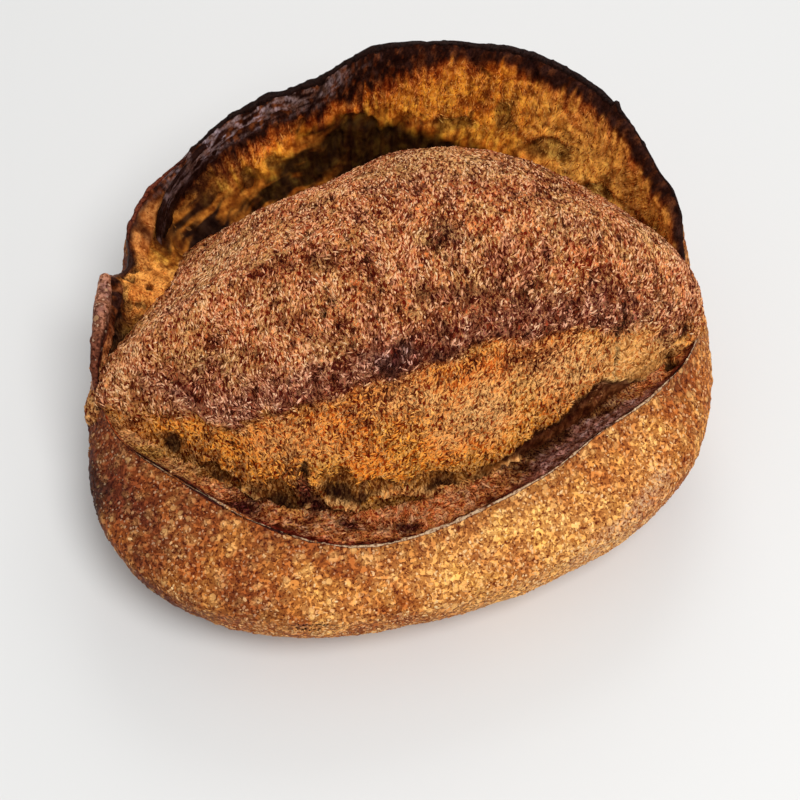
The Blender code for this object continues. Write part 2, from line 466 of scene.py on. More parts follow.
# %% Painting
def paint(mesh, **fields):
    """Writes a value or a colour for each point into named attributes, which the materials read."""
    for name, values in fields.items():
        values = np.clip(values, 0, 1)
        kind, field = ("FLOAT", "value") if values.ndim == 1 else ("FLOAT_COLOR", "color")
        if kind == "FLOAT_COLOR":
            values = np.concatenate([values, np.ones((len(values), 1))], axis=1)
        mesh.attributes.new(name, kind, "POINT").data.foreach_set(field, values.astype(np.float32).ravel())


def blended(points, base, patches):
    """A colour for each point: the base, with each patch's colour laid over it by the patch's weight."""
    colour = np.broadcast_to(linear(base), (len(points), 3)).copy()
    for hex_colour, weight in patches:
        weight = np.clip(weight, 0, 1)[:, None]
        colour = colour * (1 - weight) + linear(hex_colour) * weight
    return colour


def spot(points, place_mm, radii_mm):
    """1 at a place, fading to 0 at the radii; a radius may be given for each axis."""
    gap = (points - np.array(place_mm) * MM) / (np.array(radii_mm) * MM)
    return smooth(1 - np.linalg.norm(gap, axis=1))


print("gold over brown:", blended(CENTRE[None], "#754123", (("#e0a048", np.full(1, 0.5)),)).round(3))

# %% [markdown]
# The rim is ragged, as dough that tore in the oven is: small teeth all round, and a few larger hooks on the ear
# and at the left end, each a short named bump at its angle. The crust's edge and the crumb inside it both start
# from this rim, so the functions for it come first.

# %% Ragged rim
# How thick the torn edge is: degrees, millimetres.
EDGE = ((0, 1.0), (20, 1.1), (60, 1.2), (84, 1.4), (97, 1.7), (128, 2.2), (142, 1.6), (160, 1.8), (168, 4.0),
        (174, 6.0), (180, 6.0), (187, 3.0), (196, 0.9), (270, 0.7), (330, 0.8))
RIM_RADIUS, WALL_RADIUS = 0.1, 0.09  # where angles along the rim and the torn wall are turned into lengths
# Hooks on the rim: degrees, half width in degrees, height in millimetres.
HOOKS = (
    (38.5, 0.9, 3.0), (17.2, 1.6, 1.6), (63, 3, 0.7), (81, 2, -1.0), (101, 3, 1.0), (118, 4, 1.2), (136, 3, 1.4),
    (147, 2, 1.4), (169, 1.6, 2.2), (183, 1.5, 1.2),
)


def unrolled(angle, down, radius=WALL_RADIUS):
    """The torn wall laid out straight: round a ring one way, and down from the rim the other."""
    return np.stack([radius * np.cos(angle), radius * np.sin(angle), down], axis=1)


def rim_teeth(angle):
    """How far the torn rim stands above its smooth curve."""
    ring = unrolled(angle, 0 * angle, RIM_RADIUS)
    teeth = 0.8 * MM * swells(ring, 7, 3) * smooth((np.sin(angle) + 0.5) / 0.6)
    teeth = teeth + 0.25 * MM * swells(ring, 4, 2, 5)
    for degrees, width, height in HOOKS:
        gap = (np.degrees(angle) - degrees + 180) % 360 - 180
        teeth = teeth + height * MM * np.maximum(0, 1 - np.abs(gap / width)) ** 1.3
    return teeth


def wall(angle):
    """Radius and height of the rim's middle and of the groove, and half the edge's thickness."""
    belly = belly_radius(angle)
    half = around(EDGE, 1, angle) * MM / 2
    wall_top = around(RIM, 2, angle) * MM - half + rim_teeth(angle)
    groove_r = (around(FOOT, 1, angle) - GROOVE_SHARE) * belly
    return around(RIM, 1, angle) * belly, wall_top, groove_r, around(FOOT, 2, angle) * MM, half


print("tooth at the ear's middle:", (rim_teeth(np.full(1, math.pi / 2)) / MM).round(3), "mm")

# %% [markdown]
# The bowl of crust. Outside it runs from the flat base round the belly and up to the rim; its edge is a thin
# torn shell, and its inner side is hidden by the crumb. One ball moved onto this section gives all of it, with
# its points closest where the crust shows.

# %% Crust shape
CRUST_SEGMENTS = 760
UNDER_STEPS, WALL_STEPS, EDGE_STEPS, LINING_STEPS = 16, 78, 8, 14
LINING_OUT, LINING_UNDER, MIDDLE_UNDER = 9 * MM, 12 * MM, 14 * MM  # the lining's hidden end, past the groove


def crust_section(angle):
    """From the middle of the base, up the outside, over the edge and down its hidden lining."""
    belly = belly_radius(angle)
    base_r = BASE_SHARE * belly
    rim_r, wall_top, groove_r, groove_z, half = wall(angle)
    climb = wall_top - BELLY_LEVEL
    points = [at(angle, 0, 0), at(angle, 0.5 * base_r, 0)]
    for t in np.linspace(0, 1, UNDER_STEPS, endpoint=False):
        r = bezier(base_r, BASE_TURN * base_r, belly, belly, t)
        points.append(at(angle, r, bezier(0, 0, BELLY_TURN * BELLY_LEVEL, BELLY_LEVEL, t)))
    for t in np.linspace(0, 1, WALL_STEPS, endpoint=False):
        r = bezier(belly, belly, rim_r + WALL_LEAN * (belly - rim_r), rim_r, t)
        z = bezier(BELLY_LEVEL, BELLY_LEVEL + WALL_UPRIGHT * climb, wall_top - WALL_LEAN * climb, wall_top, t)
        points.append(at(angle, r, z))
    for t in np.linspace(0, math.pi, EDGE_STEPS):
        points.append(at(angle, rim_r - half + half * math.cos(t), wall_top + half * math.sin(t)))
    inner_r = rim_r - 2 * half
    floor_z = groove_z - LINING_UNDER
    for t in np.linspace(0, 1, LINING_STEPS + 1)[1:]:
        r = bezier(inner_r, inner_r, inner_r, groove_r + LINING_OUT, t)
        points.append(at(angle, r, wall_top + (floor_z - wall_top) * t))
    points.append(at(angle, 0, FLOOR_LEVEL - MIDDLE_UNDER))
    return points


crust_mesh, crust_angle, crust_ring = moulded("crust", CRUST_SEGMENTS, crust_section)
print("crust:", len(crust_mesh.vertices), "points")

# %% [markdown]
# The crust's relief, coarse to fine: slow lumps as in the solid, dents as wide as a fingertip, blisters where
# gas lifted the skin, and a fine grain. Everything dies out towards the flat base that the loaf stands on.

# %% Crust relief
# Each form's size and its height, in millimetres and in metres.
LUMP_SIZE, LUMP_HEIGHT = 34, 1.0 * MM
DENT_SIZE, DENT_HEIGHT = 11, 0.5 * MM
BLISTER_SIZE, BLISTER_HEIGHT = 4.4, 0.40 * MM
SMALL_BLISTER_SIZE, SMALL_BLISTER_HEIGHT = 2.6, 0.26 * MM
GRAIN_SIZE, GRAIN_HEIGHT = 2.1, 0.16 * MM
BASE_LEVEL = 0.012  # below this the relief dies out

points, normals = surface(crust_mesh)
bent = wavy(points, 0.9, 3, 2, 15)
gap, own = cells(bent, BLISTER_SIZE)
blister = smooth((0.30 + 0.25 * own - gap) / 0.16) * (own > 0.3)
gap, own = cells(bent, SMALL_BLISTER_SIZE, 9)
small_blister = smooth((0.28 + 0.2 * own - gap) / 0.2) * (own > 0.35)
relief = LUMP_HEIGHT * swells(points, LUMP_SIZE, 2)
relief += DENT_HEIGHT * swells(points, DENT_SIZE, 2, 3)
relief += np.maximum(BLISTER_HEIGHT * blister, SMALL_BLISTER_HEIGHT * small_blister)
relief += GRAIN_HEIGHT * swells(points, GRAIN_SIZE, 2, 7)
relief *= smooth(points[:, 2] / BASE_LEVEL)
place_points(crust_mesh, points + normals * relief[:, None])
print("crust relief from", relief.min().round(4), "to", relief.max().round(4))

# %% [markdown]
# The crust's colour runs with the angle: burnt at the left end, brown in front, golden to the right. Under the
# ear's rim the skin is charred, and round the left end's flap it is purple-brown. The lip's edge is a thin pale
# line, because the skin there lifted, dried and cracked away from the crumb; the black line inside it is painted
# shade, in the gap between crust and crumb, and so is the black of the hidden lining where it shows under the
# ear. Flour still clings in a few streaks where the dough lay in its basket.

# %% Crust colours
# Degrees round the loaf, then how burnt the crust is there, from 0 for golden to 1 for dark.
BURNT = ((0, 0.42), (40, 0.6), (90, 0.75), (140, 0.9), (180, 1.0), (208, 1.05), (225, 0.9), (245, 0.55),
         (270, 0.36), (295, 0.12), (320, 0.22), (345, 0.5))
FLOUR_STREAKS = (
    ((97, -49), (86, -63), (72, -75), (60, -83)),
    ((99, -56), (90, -68), (79, -77)),
    ((56, -86), (44, -93), (34, -97)),
)
FLOUR_WIDTH = 2.4 * MM
# A smooth dark swelling low at the left: place and radii in millimetres.
BULGE = ((-118, -55, 38), (13, 19, 24))

points = coordinates(crust_mesh)
degrees = np.degrees(crust_angle)
height = points[:, 2] / MM
below = (around(RIM, 2, crust_angle) * MM - points[:, 2]) / MM
burnt = around(BURNT, 1, crust_angle) + 0.5 * swells(points, 15, 3, 21)
browned = np.clip(burnt, 0, 1)
ear = smooth(0.4 + 3 * np.sin(crust_angle)) * (1 - rise(degrees, 184, 8))
shell = bell(degrees + 7 * swells(points, 12, 3, 28), 178, 13, 4)
flap = bell(degrees, 148, 9, 4)
edge_ring = crust_ring - (2 + UNDER_STEPS + WALL_STEPS)
edge = (edge_ring >= 0) & (edge_ring < EDGE_STEPS)
lining = edge_ring >= EDGE_STEPS
rim_shade = ear * smooth(1.1 - (below - 2 * swells(points, 5, 2, 23)) / 6) + edge * ear
rim_shade = np.clip(rim_shade, 0, 1) * (1 - 0.95 * shell)
front_left = rise(degrees, 203, 6) * fall(degrees, 300, 10)
lifted = smooth(2.0 + 2.4 * swells(points, 17, 2, 25)) * rise(degrees, 203, 6)
bulge = spot(wavy(points, 9, 12, 3, 30), *BULGE)
crust_tint = blended(points, "#cc8a44", (
    ("#a2541e", burnt / 0.5),
    ("#5c2612", (burnt - 0.4) / 0.62),
    ("#e0a048", 0.5 * smooth(0.2 + 1.6 * swells(points, 7, 2, 26)) * (1 - browned)),
    ("#8e3e14", 0.4 * smooth(2.2 * swells(points, 5, 3, 29)) * (1 - 0.6 * browned)),
    ("#7c3c18", 0.5 * smooth(1 - below / 8) * (1 - ear)),
    ("#f6be70", 0.35 * np.maximum(blister, 0.8 * small_blister) * (1 - 0.7 * browned)),
    ("#3a1a10", 0.9 * smooth(bulge * 1.5)),
    ("#c88848", 0.5 * smooth(1 - points[:, 2] / (14 * MM))),
    ("#b87a58", 0.9 * shell * smooth(1.2 - below / 22)),
    ("#22100b", rim_shade),
    ("#7c3c26", 0.8 * flap * edge),
    ("#6e463a", 0.9 * shell * edge * smooth(0.4 + 2 * swells(points, 5, 2, 27))),
    ("#5a2c1a", (1 - ear) * edge),
    ("#ccac88", (1 - ear) * edge * lifted * (edge_ring >= 1) * (edge_ring < 4 + 2 * front_left)),
    # Painted shade: a black line on the edge's inner side, and black on the lining under the ear, in the gap
    # between crust and crumb.
    ("#280e0a", (1 - ear) * edge * (edge_ring >= 6)),
    ("#160b08", lining * ear),
    ("#6a2616", lining * (1 - ear)),
))
flour = sum(bell(path_gap(points, path), 0, FLOUR_WIDTH) for path in FLOUR_STREAKS)
flour *= 0.5 * rise(height, 22, 8) * fall(height, 70, 8)
paint(crust_mesh, tint=crust_tint, flour=flour, char=rim_shade + (1 - ear) * (1 - shell) * edge + lining)
print("burnt from", burnt.min().round(2), "to", burnt.max().round(2))

# %% [markdown]
# The torn crumb lines the bowl: it hangs from just under the rim, falls to the groove and runs in under the
# dome. Its back is hidden in the crust. The dough tore here while it was still soft, so the skin is all drawn
# fibres that run from the rim down, with hollows between them where bubbles opened.

# %% Torn crumb shape
CRUMB_SEGMENTS = 860
BACK_OUT, BACK_UNDER, CRUMB_UNDER = 6 * MM, 9 * MM, 11 * MM  # its hidden back's end, past the groove
EDGE_BEND = 2.5 * MM  # how soon below the rim the crumb comes out from under the crust's edge
FACE_STEPS = 100
HIDDEN_STEPS = 3


def front_share(angle):
    """0 along the ear, and 1 along the lip."""
    return smooth((-np.sin(angle) + 0.12) / 0.3)


def crumb_section(angle):
    """From the middle underneath, up the back inside the crust, over the top edge and down the torn face."""
    rim_r, wall_top, groove_r, groove_z, half = wall(angle)
    in_front = front_share(angle)
    inner_r = rim_r - np.maximum(RIM_THICKNESS * (1 - 0.8 * in_front), 2 * half + (0.4 - 0.2 * in_front) * MM)
    shelf = inner_r - groove_r
    drop = wall_top - groove_z
    back_r = rim_r - half
    points = [at(angle, 0, FLOOR_LEVEL - CRUMB_UNDER), at(angle, groove_r, groove_z - BACK_UNDER)]
    for t in np.linspace(1, 0, HIDDEN_STEPS + 1):
        r = bezier(back_r, back_r, back_r - 0.2 * shelf, groove_r + BACK_OUT, t)
        points.append(at(angle, r, wall_top - drop * t - (1 + 3 * t) * MM))
    for t in np.linspace(0, 1, FACE_STEPS + 1):
        r = bezier(inner_r, inner_r, groove_r + INNER_LEVEL * shelf, groove_r, t)
        z = bezier(wall_top, wall_top - INNER_UPRIGHT * drop, groove_z, groove_z, t)
        r = r + (back_r - inner_r) * np.exp(-(wall_top - z) / EDGE_BEND)
        points.append(at(angle, r, z))
    for t in np.linspace(0, 1, HIDDEN_STEPS + 1)[1:]:
        points.append(at(angle, groove_r * (1 - t), groove_z + (FLOOR_LEVEL - groove_z) * t))
    return points


crumb_mesh, crumb_angle, crumb_ring = moulded("torn_crumb", CRUMB_SEGMENTS, crumb_section)
face_start = 2 + HIDDEN_STEPS + 1
face_share = (crumb_ring - face_start) / FACE_STEPS
print("torn crumb:", len(crumb_mesh.vertices), "points")

# %% [markdown]
# Where the crumb tore, it shows the bubbles that it opened: single hollows at the trough's ends and high in the
# ear, and here and there a torn tip that stands up. Cutting them out of the mesh would leave sharp edges, so each
# is a named place where the skin is pushed in or out.

# %% Hollows and tips
# Bubbles that opened at the two ends of the trough: place, radii and depth in millimetres.
HOLLOWS = (
    ((102.4, 0.9, 66.8), (4, 4.5, 6), 3.5), ((101.3, -4.2, 54.6), (3.5, 5, 7), 4.0),
    ((-104.7, -21.1, 55.6), (2.4, 3, 5), 3.0), ((-95.7, -31.8, 53.5), (5, 4, 7), 4.5),
    ((-90.5, -37.7, 52.3), (3.5, 4, 7), 4.0), ((-85.6, -41, 54.3), (7, 5, 9), 3.0),
    ((-35.9, -60.2, 67.9), (3, 3.5, 5), 2.5),
)
# Torn tips that stand up along the trough: place, radii and height in millimetres.
TORN_TIPS = (((-60.8, -55.7, 60), (4, 4, 8), 3.5), ((-43.6, -56.1, 70), (5, 5, 9), 2.5),
             ((-0.7, -60.7, 59.3), (2.5, 3, 6), 3.0), ((37, -49.5, 56), (1.8, 2.5, 7), 4.5))
# Pockets drawn open high in the ear: place, radii and depth in millimetres.
EAR_POCKETS = (
    ((39, 84, 95), (6, 9, 13), 3.0), ((57, 76, 85), (16, 12, 6), 3.0), ((20, 86, 91), (14, 9, 5), 2.0),
    ((-20, 84, 91), (10, 9, 5), 2.5), ((76, 62, 76), (10, 10, 6), 2.0), ((-62, 76, 68), (5, 8, 7), 3.0),
    ((-52, 79, 72), (7, 8, 5), 3.0),
)


def hollowed(points, hollows):
    """How far bubbles eat into the skin, and the share of each one's depth."""
    share = np.zeros(len(points))
    depth = share.copy()
    bent = wavy(points, 1.1, 3.5, 2, 200)
    bent = bent + 2.0 * MM * np.stack([swells(points, 8, 2, 204 + 7 * axis) for axis in range(3)], axis=1)
    for place, radii, deep in hollows:
        gap = np.linalg.norm((bent - np.array(place) * MM) / (np.array(radii) * MM), axis=1)
        inside = smooth(1.6 * (1 - gap))
        share = np.maximum(share, inside)
        depth = np.maximum(depth, inside * deep * MM)
    return share, depth


print(len(HOLLOWS) + len(EAR_POCKETS), "hollows and", len(TORN_TIPS), "tips")

# %% [markdown]
# Along the dome's foot runs a row of arched pockets, where bigger bubbles tore open side by side, with a bright
# torn crest below them and dark red hollows in the shelf. They are drawn on a plane that leans as the face does.
# The torn crumb and the bloom share this function, so the forms run on where the two meet.

# %% Arched pockets
# The trough's forms are laid out on a plane that leans back as the torn face does: X, and how far up the plane.
LEAN = (0.839, 0.545)  # the plane's shares of Y and of Z
# Arched pockets: middle, half width, level of the foot and rise, in millimetres.
ARCHES = ((-71, 9, -20, 9.5), (-47.5, 8, -27, 11), (-25, 9, -22.5, 11.5), (-9, 10, -23, 7.5), (14, 13, -20.5, 8),
          (34, 10, -17, 7))
ARCH_DEPTH, CREST_HEIGHT, CREST_WIDTH = 4.0 * MM, 2.2 * MM, 0.85 * MM
# The torn crest under the pockets, in two pieces.
CRESTS = (
    ((-80, -15), (-69.3, -19.8), (-64.3, -18.4), (-60.9, -14.8), (-57.5, -20.9), (-52.4, -24.6), (-49.3, -27.4),
     (-44.1, -29.4), (-38.3, -30.1), (-35.5, -28.2)),
    ((-34.1, -14.3), (-30.7, -21), (-25.9, -25.8), (-16.4, -25.9), (-12, -22.7), (-1.1, -19.8), (4, -20.7),
     (18.8, -21.8), (31.5, -16.8), (42, -10)),
)
# Dark red hollows in the shelf below the crest: middle, how far up the plane, and the two radii.
RED_HOLLOWS = ((-59, -26, 10, 5), (-31, -29, 7, 6), (-43, -11, 4, 6), (-37, -20, 3, 7), (-8, -33, 22, 2.5))


def trough_forms(points):
    """The trough's arched pockets, their shaded bottoms and depth, the torn crest and the red hollows."""
    plane = np.stack([points[:, 0], points[:, 1] * LEAN[0] + points[:, 2] * LEAN[1]], axis=1)
    plane[:, 0] += 1.6 * MM * swells(points, 5, 3, 210)
    plane[:, 1] += 1.6 * MM * swells(points, 4, 3, 213)
    here = rise(-points[:, 1], 34 * MM, 12 * MM) * fall(points[:, 2], 80 * MM, 6 * MM)
    flat = np.concatenate([plane, 0 * plane[:, :1]], axis=1)
    crest_gap = np.min([path_gap(flat, path) for path in CRESTS], axis=0)
    line = np.array(CRESTS[0] + CRESTS[1], float) * MM
    above = plane[:, 1] - np.interp(plane[:, 0], line[:, 0], line[:, 1])
    pocket = np.zeros(len(points))
    bottom = pocket.copy()
    floor_slope = smooth(above / (5 * MM))
    for middle, half_width, level, tall in ARCHES:
        across = 1 - ((plane[:, 0] - middle * MM) / (half_width * MM)) ** 2
        under_top = (level + tall * np.sqrt(np.clip(across, 0, 1))) * MM - plane[:, 1]
        inside = smooth(under_top / (2.4 * MM)) * smooth(across * 4) * smooth(above / (0.8 * MM) - 0.5)
        pocket = np.maximum(pocket, inside)
        bottom = np.maximum(bottom, inside * smooth(under_top / (tall * 0.9 * MM) - 0.25))
    # A band just above the crest gets painted shade too, as the pockets' bottoms do.
    bottom = np.maximum(bottom, 0.4 * bell(above / MM, 2, 1.5))
    broken = smooth(0.9 + 2.4 * swells(points, 5, 2, 217))
    crest = bell(crest_gap, 0, CREST_WIDTH) * here * broken
    red = sum(
        np.exp(-(((plane[:, 0] / MM - x) / wide) ** 2) - ((plane[:, 1] / MM - level) / high) ** 2)
        for x, level, wide, high in RED_HOLLOWS
    )
    pocket_depth = ARCH_DEPTH * pocket * floor_slope * here
    return pocket * here, bottom * here, pocket_depth, crest, np.clip(1.3 * red, 0, 1) * here * (1 - crest)


print(len(ARCHES), "arched pockets and", len(RED_HOLLOWS), "red hollows")

# %% [markdown]
# The relief of the torn face is worked out on the wall laid out straight: round the loaf one way, down from the
# rim the other. Ridges stretched downwards are the fibres. Near the groove behind the dome the crumb is drawn
# open into uneven hollows, and at the left of the ear the burnt skin shrank into fine wrinkles.

# %% Torn crumb forms
# Creases in the ear: degrees and millimetres below the rim.
CREASE_WIDTH = 0.9 * MM
CREASES = (((106, 1), (109, 8), (114, 19)), ((72, 1), (69, 7), (65.5, 13)), ((58, 0), (55, 9)))
# The height under which the crumb behind the dome is drawn open and painted dark as shade: degrees, millimetres.
SHADE = ((18, 50), (30, 60), (42, 68), (52, 80), (66, 84), (80, 91), (95, 96), (108, 93), (116, 81), (122, 73),
         (132, 67), (142, 66), (152, 60), (160, 52), (168, 44), (300, 40))

points, normals = surface(crumb_mesh)
degrees = np.degrees(crumb_angle)
height = points[:, 2] / MM
# How far down the torn face each point lies, measured along the face.
segment = np.rint(crumb_angle / (2 * math.pi) * CRUMB_SEGMENTS).astype(int) % CRUMB_SEGMENTS
grid = np.zeros((crumb_ring.max() + 1, CRUMB_SEGMENTS, 3))
grid[crumb_ring, segment] = points
steps = np.linalg.norm(np.diff(grid, axis=0), axis=2)
steps[:face_start] = 0
down = np.concatenate([np.zeros((1, CRUMB_SEGMENTS)), np.cumsum(steps, axis=0)])[crumb_ring, segment]
flat_wall = unrolled(crumb_angle, down)
face = (face_share >= 0) & (face_share <= 1)
front = front_share(crumb_angle)
in_ear = 1 - front
outer_share = np.hypot(points[:, 0] - CENTRE[0], points[:, 1] - CENTRE[1]) / belly_radius(crumb_angle)
outside_slab = rise(outer_share, 0.875, 0.02)
smooth_flap = bell(degrees, 151, 8, 4) * rise(height, 50, 5) * outside_slab
end_hollow = bell(degrees, 144, 15, 4) * (1 - outside_slab) * rise(down, 4 * MM, 6 * MM)
deep = smooth(down / (16 * MM))
fibre = ridges(flat_wall, (2.6, 2.6, 15), 3, 31)
fine_fibre = ridges(flat_wall, (1.3, 1.3, 7), 2, 37)
drape = swells(flat_wall, (5, 5, 26), 2, 34)
wander = 4 * swells(flat_wall, 9, 3, 39)
shade = smooth((around(SHADE, 1, crumb_angle) + wander - height) / 8) * in_ear
opened = smooth((swells(flat_wall, (8, 8, 12), 3, 40) + 0.02) / 0.4)
cavity = opened * smooth((around(SHADE, 1, crumb_angle) + 9 - height) / 14) * in_ear
gap, own = cells(flat_wall, (2.8, 2.8, 4.4), 50)
pore = smooth(1.2 - gap / (0.25 + 0.3 * own)) * (own > 0.5) * deep
hollow, hollow_depth = hollowed(points, HOLLOWS)
ear_pocket, pocket_depth = hollowed(points, EAR_POCKETS)
arch, arch_bottom, arch_depth, crest, red_hollow = trough_forms(points)
tips, tip_height = hollowed(points, TORN_TIPS)
wrinkle = ridges(flat_wall, (5, 5, 1.9), 3, 63, 2.6)
wrinkled = face * bell(degrees, 122, 22, 4) * fall(down, 12 * MM, 6 * MM)
straight = np.stack([np.radians(degrees) * RIM_RADIUS, down], axis=1)
crease = 0
for path in CREASES:
    path = [(math.radians(turn) * RIM_RADIUS / MM, below_rim) for turn, below_rim in path]
    crease = crease + bell(path_gap(straight, path), 0, CREASE_WIDTH)
shaded_hollow = bell(degrees, 178.5, 7, 4) * rise(down, 7 * MM, 3 * MM)
bridge = bell(degrees, 165.5, 7, 4) * smooth(down / (3 * MM))
gap, _ = cells(wavy(points, 1.5, 4, 2, 56), 6.5, 55)
bridge_hole = bridge * fall(gap, 0.42, 0.12)
print("share of the torn face in shade:", float(shade[face].mean().round(3)))

# %% [markdown]
# The relief adds these forms up, each with its height. The fibres are deepest far down, and they are quieter on
# the smooth flap and where the burnt skin wrinkled. Only the torn face moves; the hidden back stays where it is.

# %% Torn crumb relief
relief = (0.35 + 0.75 * deep) * MM * fibre + 0.3 * MM * fine_fibre + 1.2 * MM * drape * deep * in_ear
relief *= 1 - 0.6 * smooth_flap - 0.5 * wrinkled
relief -= 2.0 * MM * cavity + 0.8 * MM * pore + hollow_depth + pocket_depth + 3 * MM * end_hollow
relief += 1.2 * MM * smooth_flap * drape - arch_depth - 2.5 * MM * bridge_hole
relief += CREST_HEIGHT * crest + tip_height - 1.5 * MM * red_hollow
relief += 0.5 * MM * wrinkled * wrinkle - 1.1 * MM * crease
relief += 1.0 * MM * swells(flat_wall, (14, 14, 20), 2, 60) * deep
relief += front * 1.2 * MM * swells(points, 6, 3, 64) * smooth(down / (4 * MM))
relief += bridge * MM * (1.5 + 2.2 * swells(points, 7, 2, 66)) - 2 * MM * shaded_hollow
place_points(crumb_mesh, points + normals * (relief * face)[:, None])
print("torn crumb relief from", relief.min().round(4), "to", relief.max().round(4))

# %% [markdown]
# The char starts at the rim, where the heat was greatest, and runs down in ragged strokes as far as the stations
# say, with a browned band below it and a toasted one below that. Streaks and grit in the crumb are swells again,
# drawn out along the fibres or round the loaf.

# %% Torn crumb char
reach = around(CHAR, 1, crumb_angle) * MM
strokes = swells(flat_wall, (1.4, 1.4, 26), 2, 70)
ragged = swells(flat_wall, (7, 7, 30), 2, 73)
burnt_reach = reach * (1 + 0.4 * strokes + 0.35 * ragged)
char = smooth(0.5 + (burnt_reach - down) / (4.5 * MM))
left_ear = rise(degrees, 68, 25)
browned = smooth(0.5 + (burnt_reach + (1.5 + 2.5 * left_ear + 5 * strokes) * MM - down) / (8 * MM))
toasted = smooth(0.5 + (burnt_reach + (5 + 5 * left_ear + 7 * strokes) * MM - down) / (14 * MM))
past_left_end = rise(degrees, 202, 8)
groove_line = front * past_left_end * rise(face_share, 0.70, 0.22)
lip_strip = bell(degrees, 328, 20, 6)
shaded_end = bell(degrees, 326, 23, 4)
cloud = swells(flat_wall, 9, 3, 76)
grit = swells(points, 1.9, 2, 78)
streak = swells(flat_wall, (2.2, 2.2, 8), 3, 81)
round_streak = swells(flat_wall, (16, 16, 4), 3, 85)
speck = rise(swells(flat_wall, (1.3, 1.3, 3.0), 2, 87), 0.05, 0.3)
lip_streak = swells(np.stack([crumb_angle * WALL_RADIUS, 0 * down, down], axis=1), (14, 1, 1.5), 2, 79)
dome_skin = bell(degrees, 201, 18, 6) * smooth(down / (1.0 * MM))
print("charred share of the torn face:", float(char[face].mean().round(3)))

# %% [markdown]
# Its colour: black-brown char at the rim; then a reddish band; then golden crumb; and painted shade, dark and
# slightly olive, in the hollows, the pockets, the creases and the groove behind the dome. The shelf behind the
# lip is redder, with a flat purple-brown strip along the lip on the right, where the lifted skin lay bare to the
# heat. The pockets' painted shade and their torn crest are a function, because the bloom has them too.

# %% Torn crumb colours
def pocket_shade_and_crest(hollow, arch, arch_bottom, crest, cloud):
    """The painted shade of the hollows and arched pockets, darkest at their bottoms, and the torn crest below
    them.
    """
    return (
        ("#8e4e16", 0.85 * smooth(np.maximum(hollow, arch) * 1.6)),
        ("#220c04", 0.92 * smooth(np.maximum(hollow * 2 - 0.9, arch_bottom * 1.15))),
        ("#ffae60", 0.95 * crest * smooth(0.9 + 1.5 * cloud)),
    )


tint = blended(points, "#e07a14", (
    ("#ffb038", 0.8 * smooth(0.2 + fibre * 0.7) * in_ear),
    # Painted light: paler yellow on the ear's right part, where the lamp leaves it dim.
    ("#ffb850", 0.9 * fall(degrees, 62, 20) * in_ear),
    ("#a2400a", 0.8 * smooth(0.15 + 1.8 * cloud) * in_ear),
    ("#7a340a", 0.75 * smooth(0.05 + 2.2 * streak) * in_ear),
    ("#b04a10", 0.85 * toasted * in_ear),
    ("#822e0a", 0.9 * browned * in_ear),
    ("#f27844", 0.92 * front),
    ("#ffb684", 0.9 * front * smooth(0.15 + 2.4 * grit) * rise(down, 3 * MM, 5 * MM)),
    ("#5c0e0a", 0.85 * front * smooth(2.4 * cloud)),
    ("#4c0e0c", 0.95 * front * past_left_end * (1 - lip_strip) * smooth((7 * MM - down) / (5 * MM) + cloud)),
    # Painted shade along the groove at the dome's foot in front.
    ("#4a3410", 0.6 * groove_line),
    ("#e4a468", 0.9 * dome_skin),
    ("#a8742c", 0.8 * dome_skin * rise(degrees, 198, 10) * smooth(0.3 + 2 * cloud)),
    # Painted shade in the pores, the opened hollows and the ear's pockets.
    ("#6a3a14", 0.6 * pore),
    ("#6a4012", 0.7 * cavity),
    ("#6c4c1a", 0.55 * smooth(ear_pocket * 1.2)),
    ("#2a1d0e", 0.3 * smooth(ear_pocket * 2 - 1)),
    # Painted shade in the groove behind the dome.
    ("#120602", 0.97 * shade),
    ("#b8641e", 0.85 * shade * rise(degrees, 100, 18) * smooth(0.1 + 2 * round_streak)),
    ("#a6632f", 0.95 * smooth_flap),
    ("#542c16", 0.9 * smooth_flap * smooth(0.25 + 2.2 * drape)),
    # Painted shade in the deep hollow at the left end.
    ("#1c0b05", 0.93 * end_hollow),
    ("#9a5418", 0.8 * end_hollow * smooth(2.4 * round_streak - 0.1)),
    ("#f09642", 0.95 * bridge),
    ("#743610", 0.6 * bridge * smooth(0.1 + 2 * swells(points, 5, 2, 83))),
    # Painted shade in the bridge's holes, and painted shadow at the right end of the trough below the dome.
    ("#2a1206", 0.9 * bridge_hole),
    ("#401408", 0.95 * front * shaded_end * smooth((down - 5 * MM) / (3 * MM) + cloud)),
    ("#440c0e", 0.97 * red_hollow * smooth(0.9 + cloud)),
    *pocket_shade_and_crest(hollow, arch, arch_bottom, crest, cloud),
    ("#5a2014", 0.6 * tips),
    ("#2b120b", char * in_ear),
    ("#7a3c1a", (0.25 + 0.35 * left_ear) * char * speck * in_ear),
    ("#741e12", char * front * (1 - lip_strip) * past_left_end),
    ("#b06e5a", char * lip_strip),
    ("#352022", 0.6 * char * lip_strip * smooth(0.1 + 2 * lip_streak)),
    ("#a98474", 0.6 * char * lip_strip * rise(-lip_streak, 0.1, 0.3)),
    # Painted sheen: grey-lilac on the crests of the wrinkled char.
    ("#8d716c", 0.75 * wrinkled * rise(wrinkle, 0.45, 0.3) * char),
    # Painted shade in the creases and in a thin black line just inside the lip.
    ("#200a08", np.clip(0.8 * crease + smooth(1.3 - down / (0.3 * MM)) * front * past_left_end, 0, 1)),
    # Painted shade in the deep hollow inside the left end's flap.
    ("#120804", 0.95 * shaded_hollow),
    ("#5a3210", 1 - face),
))
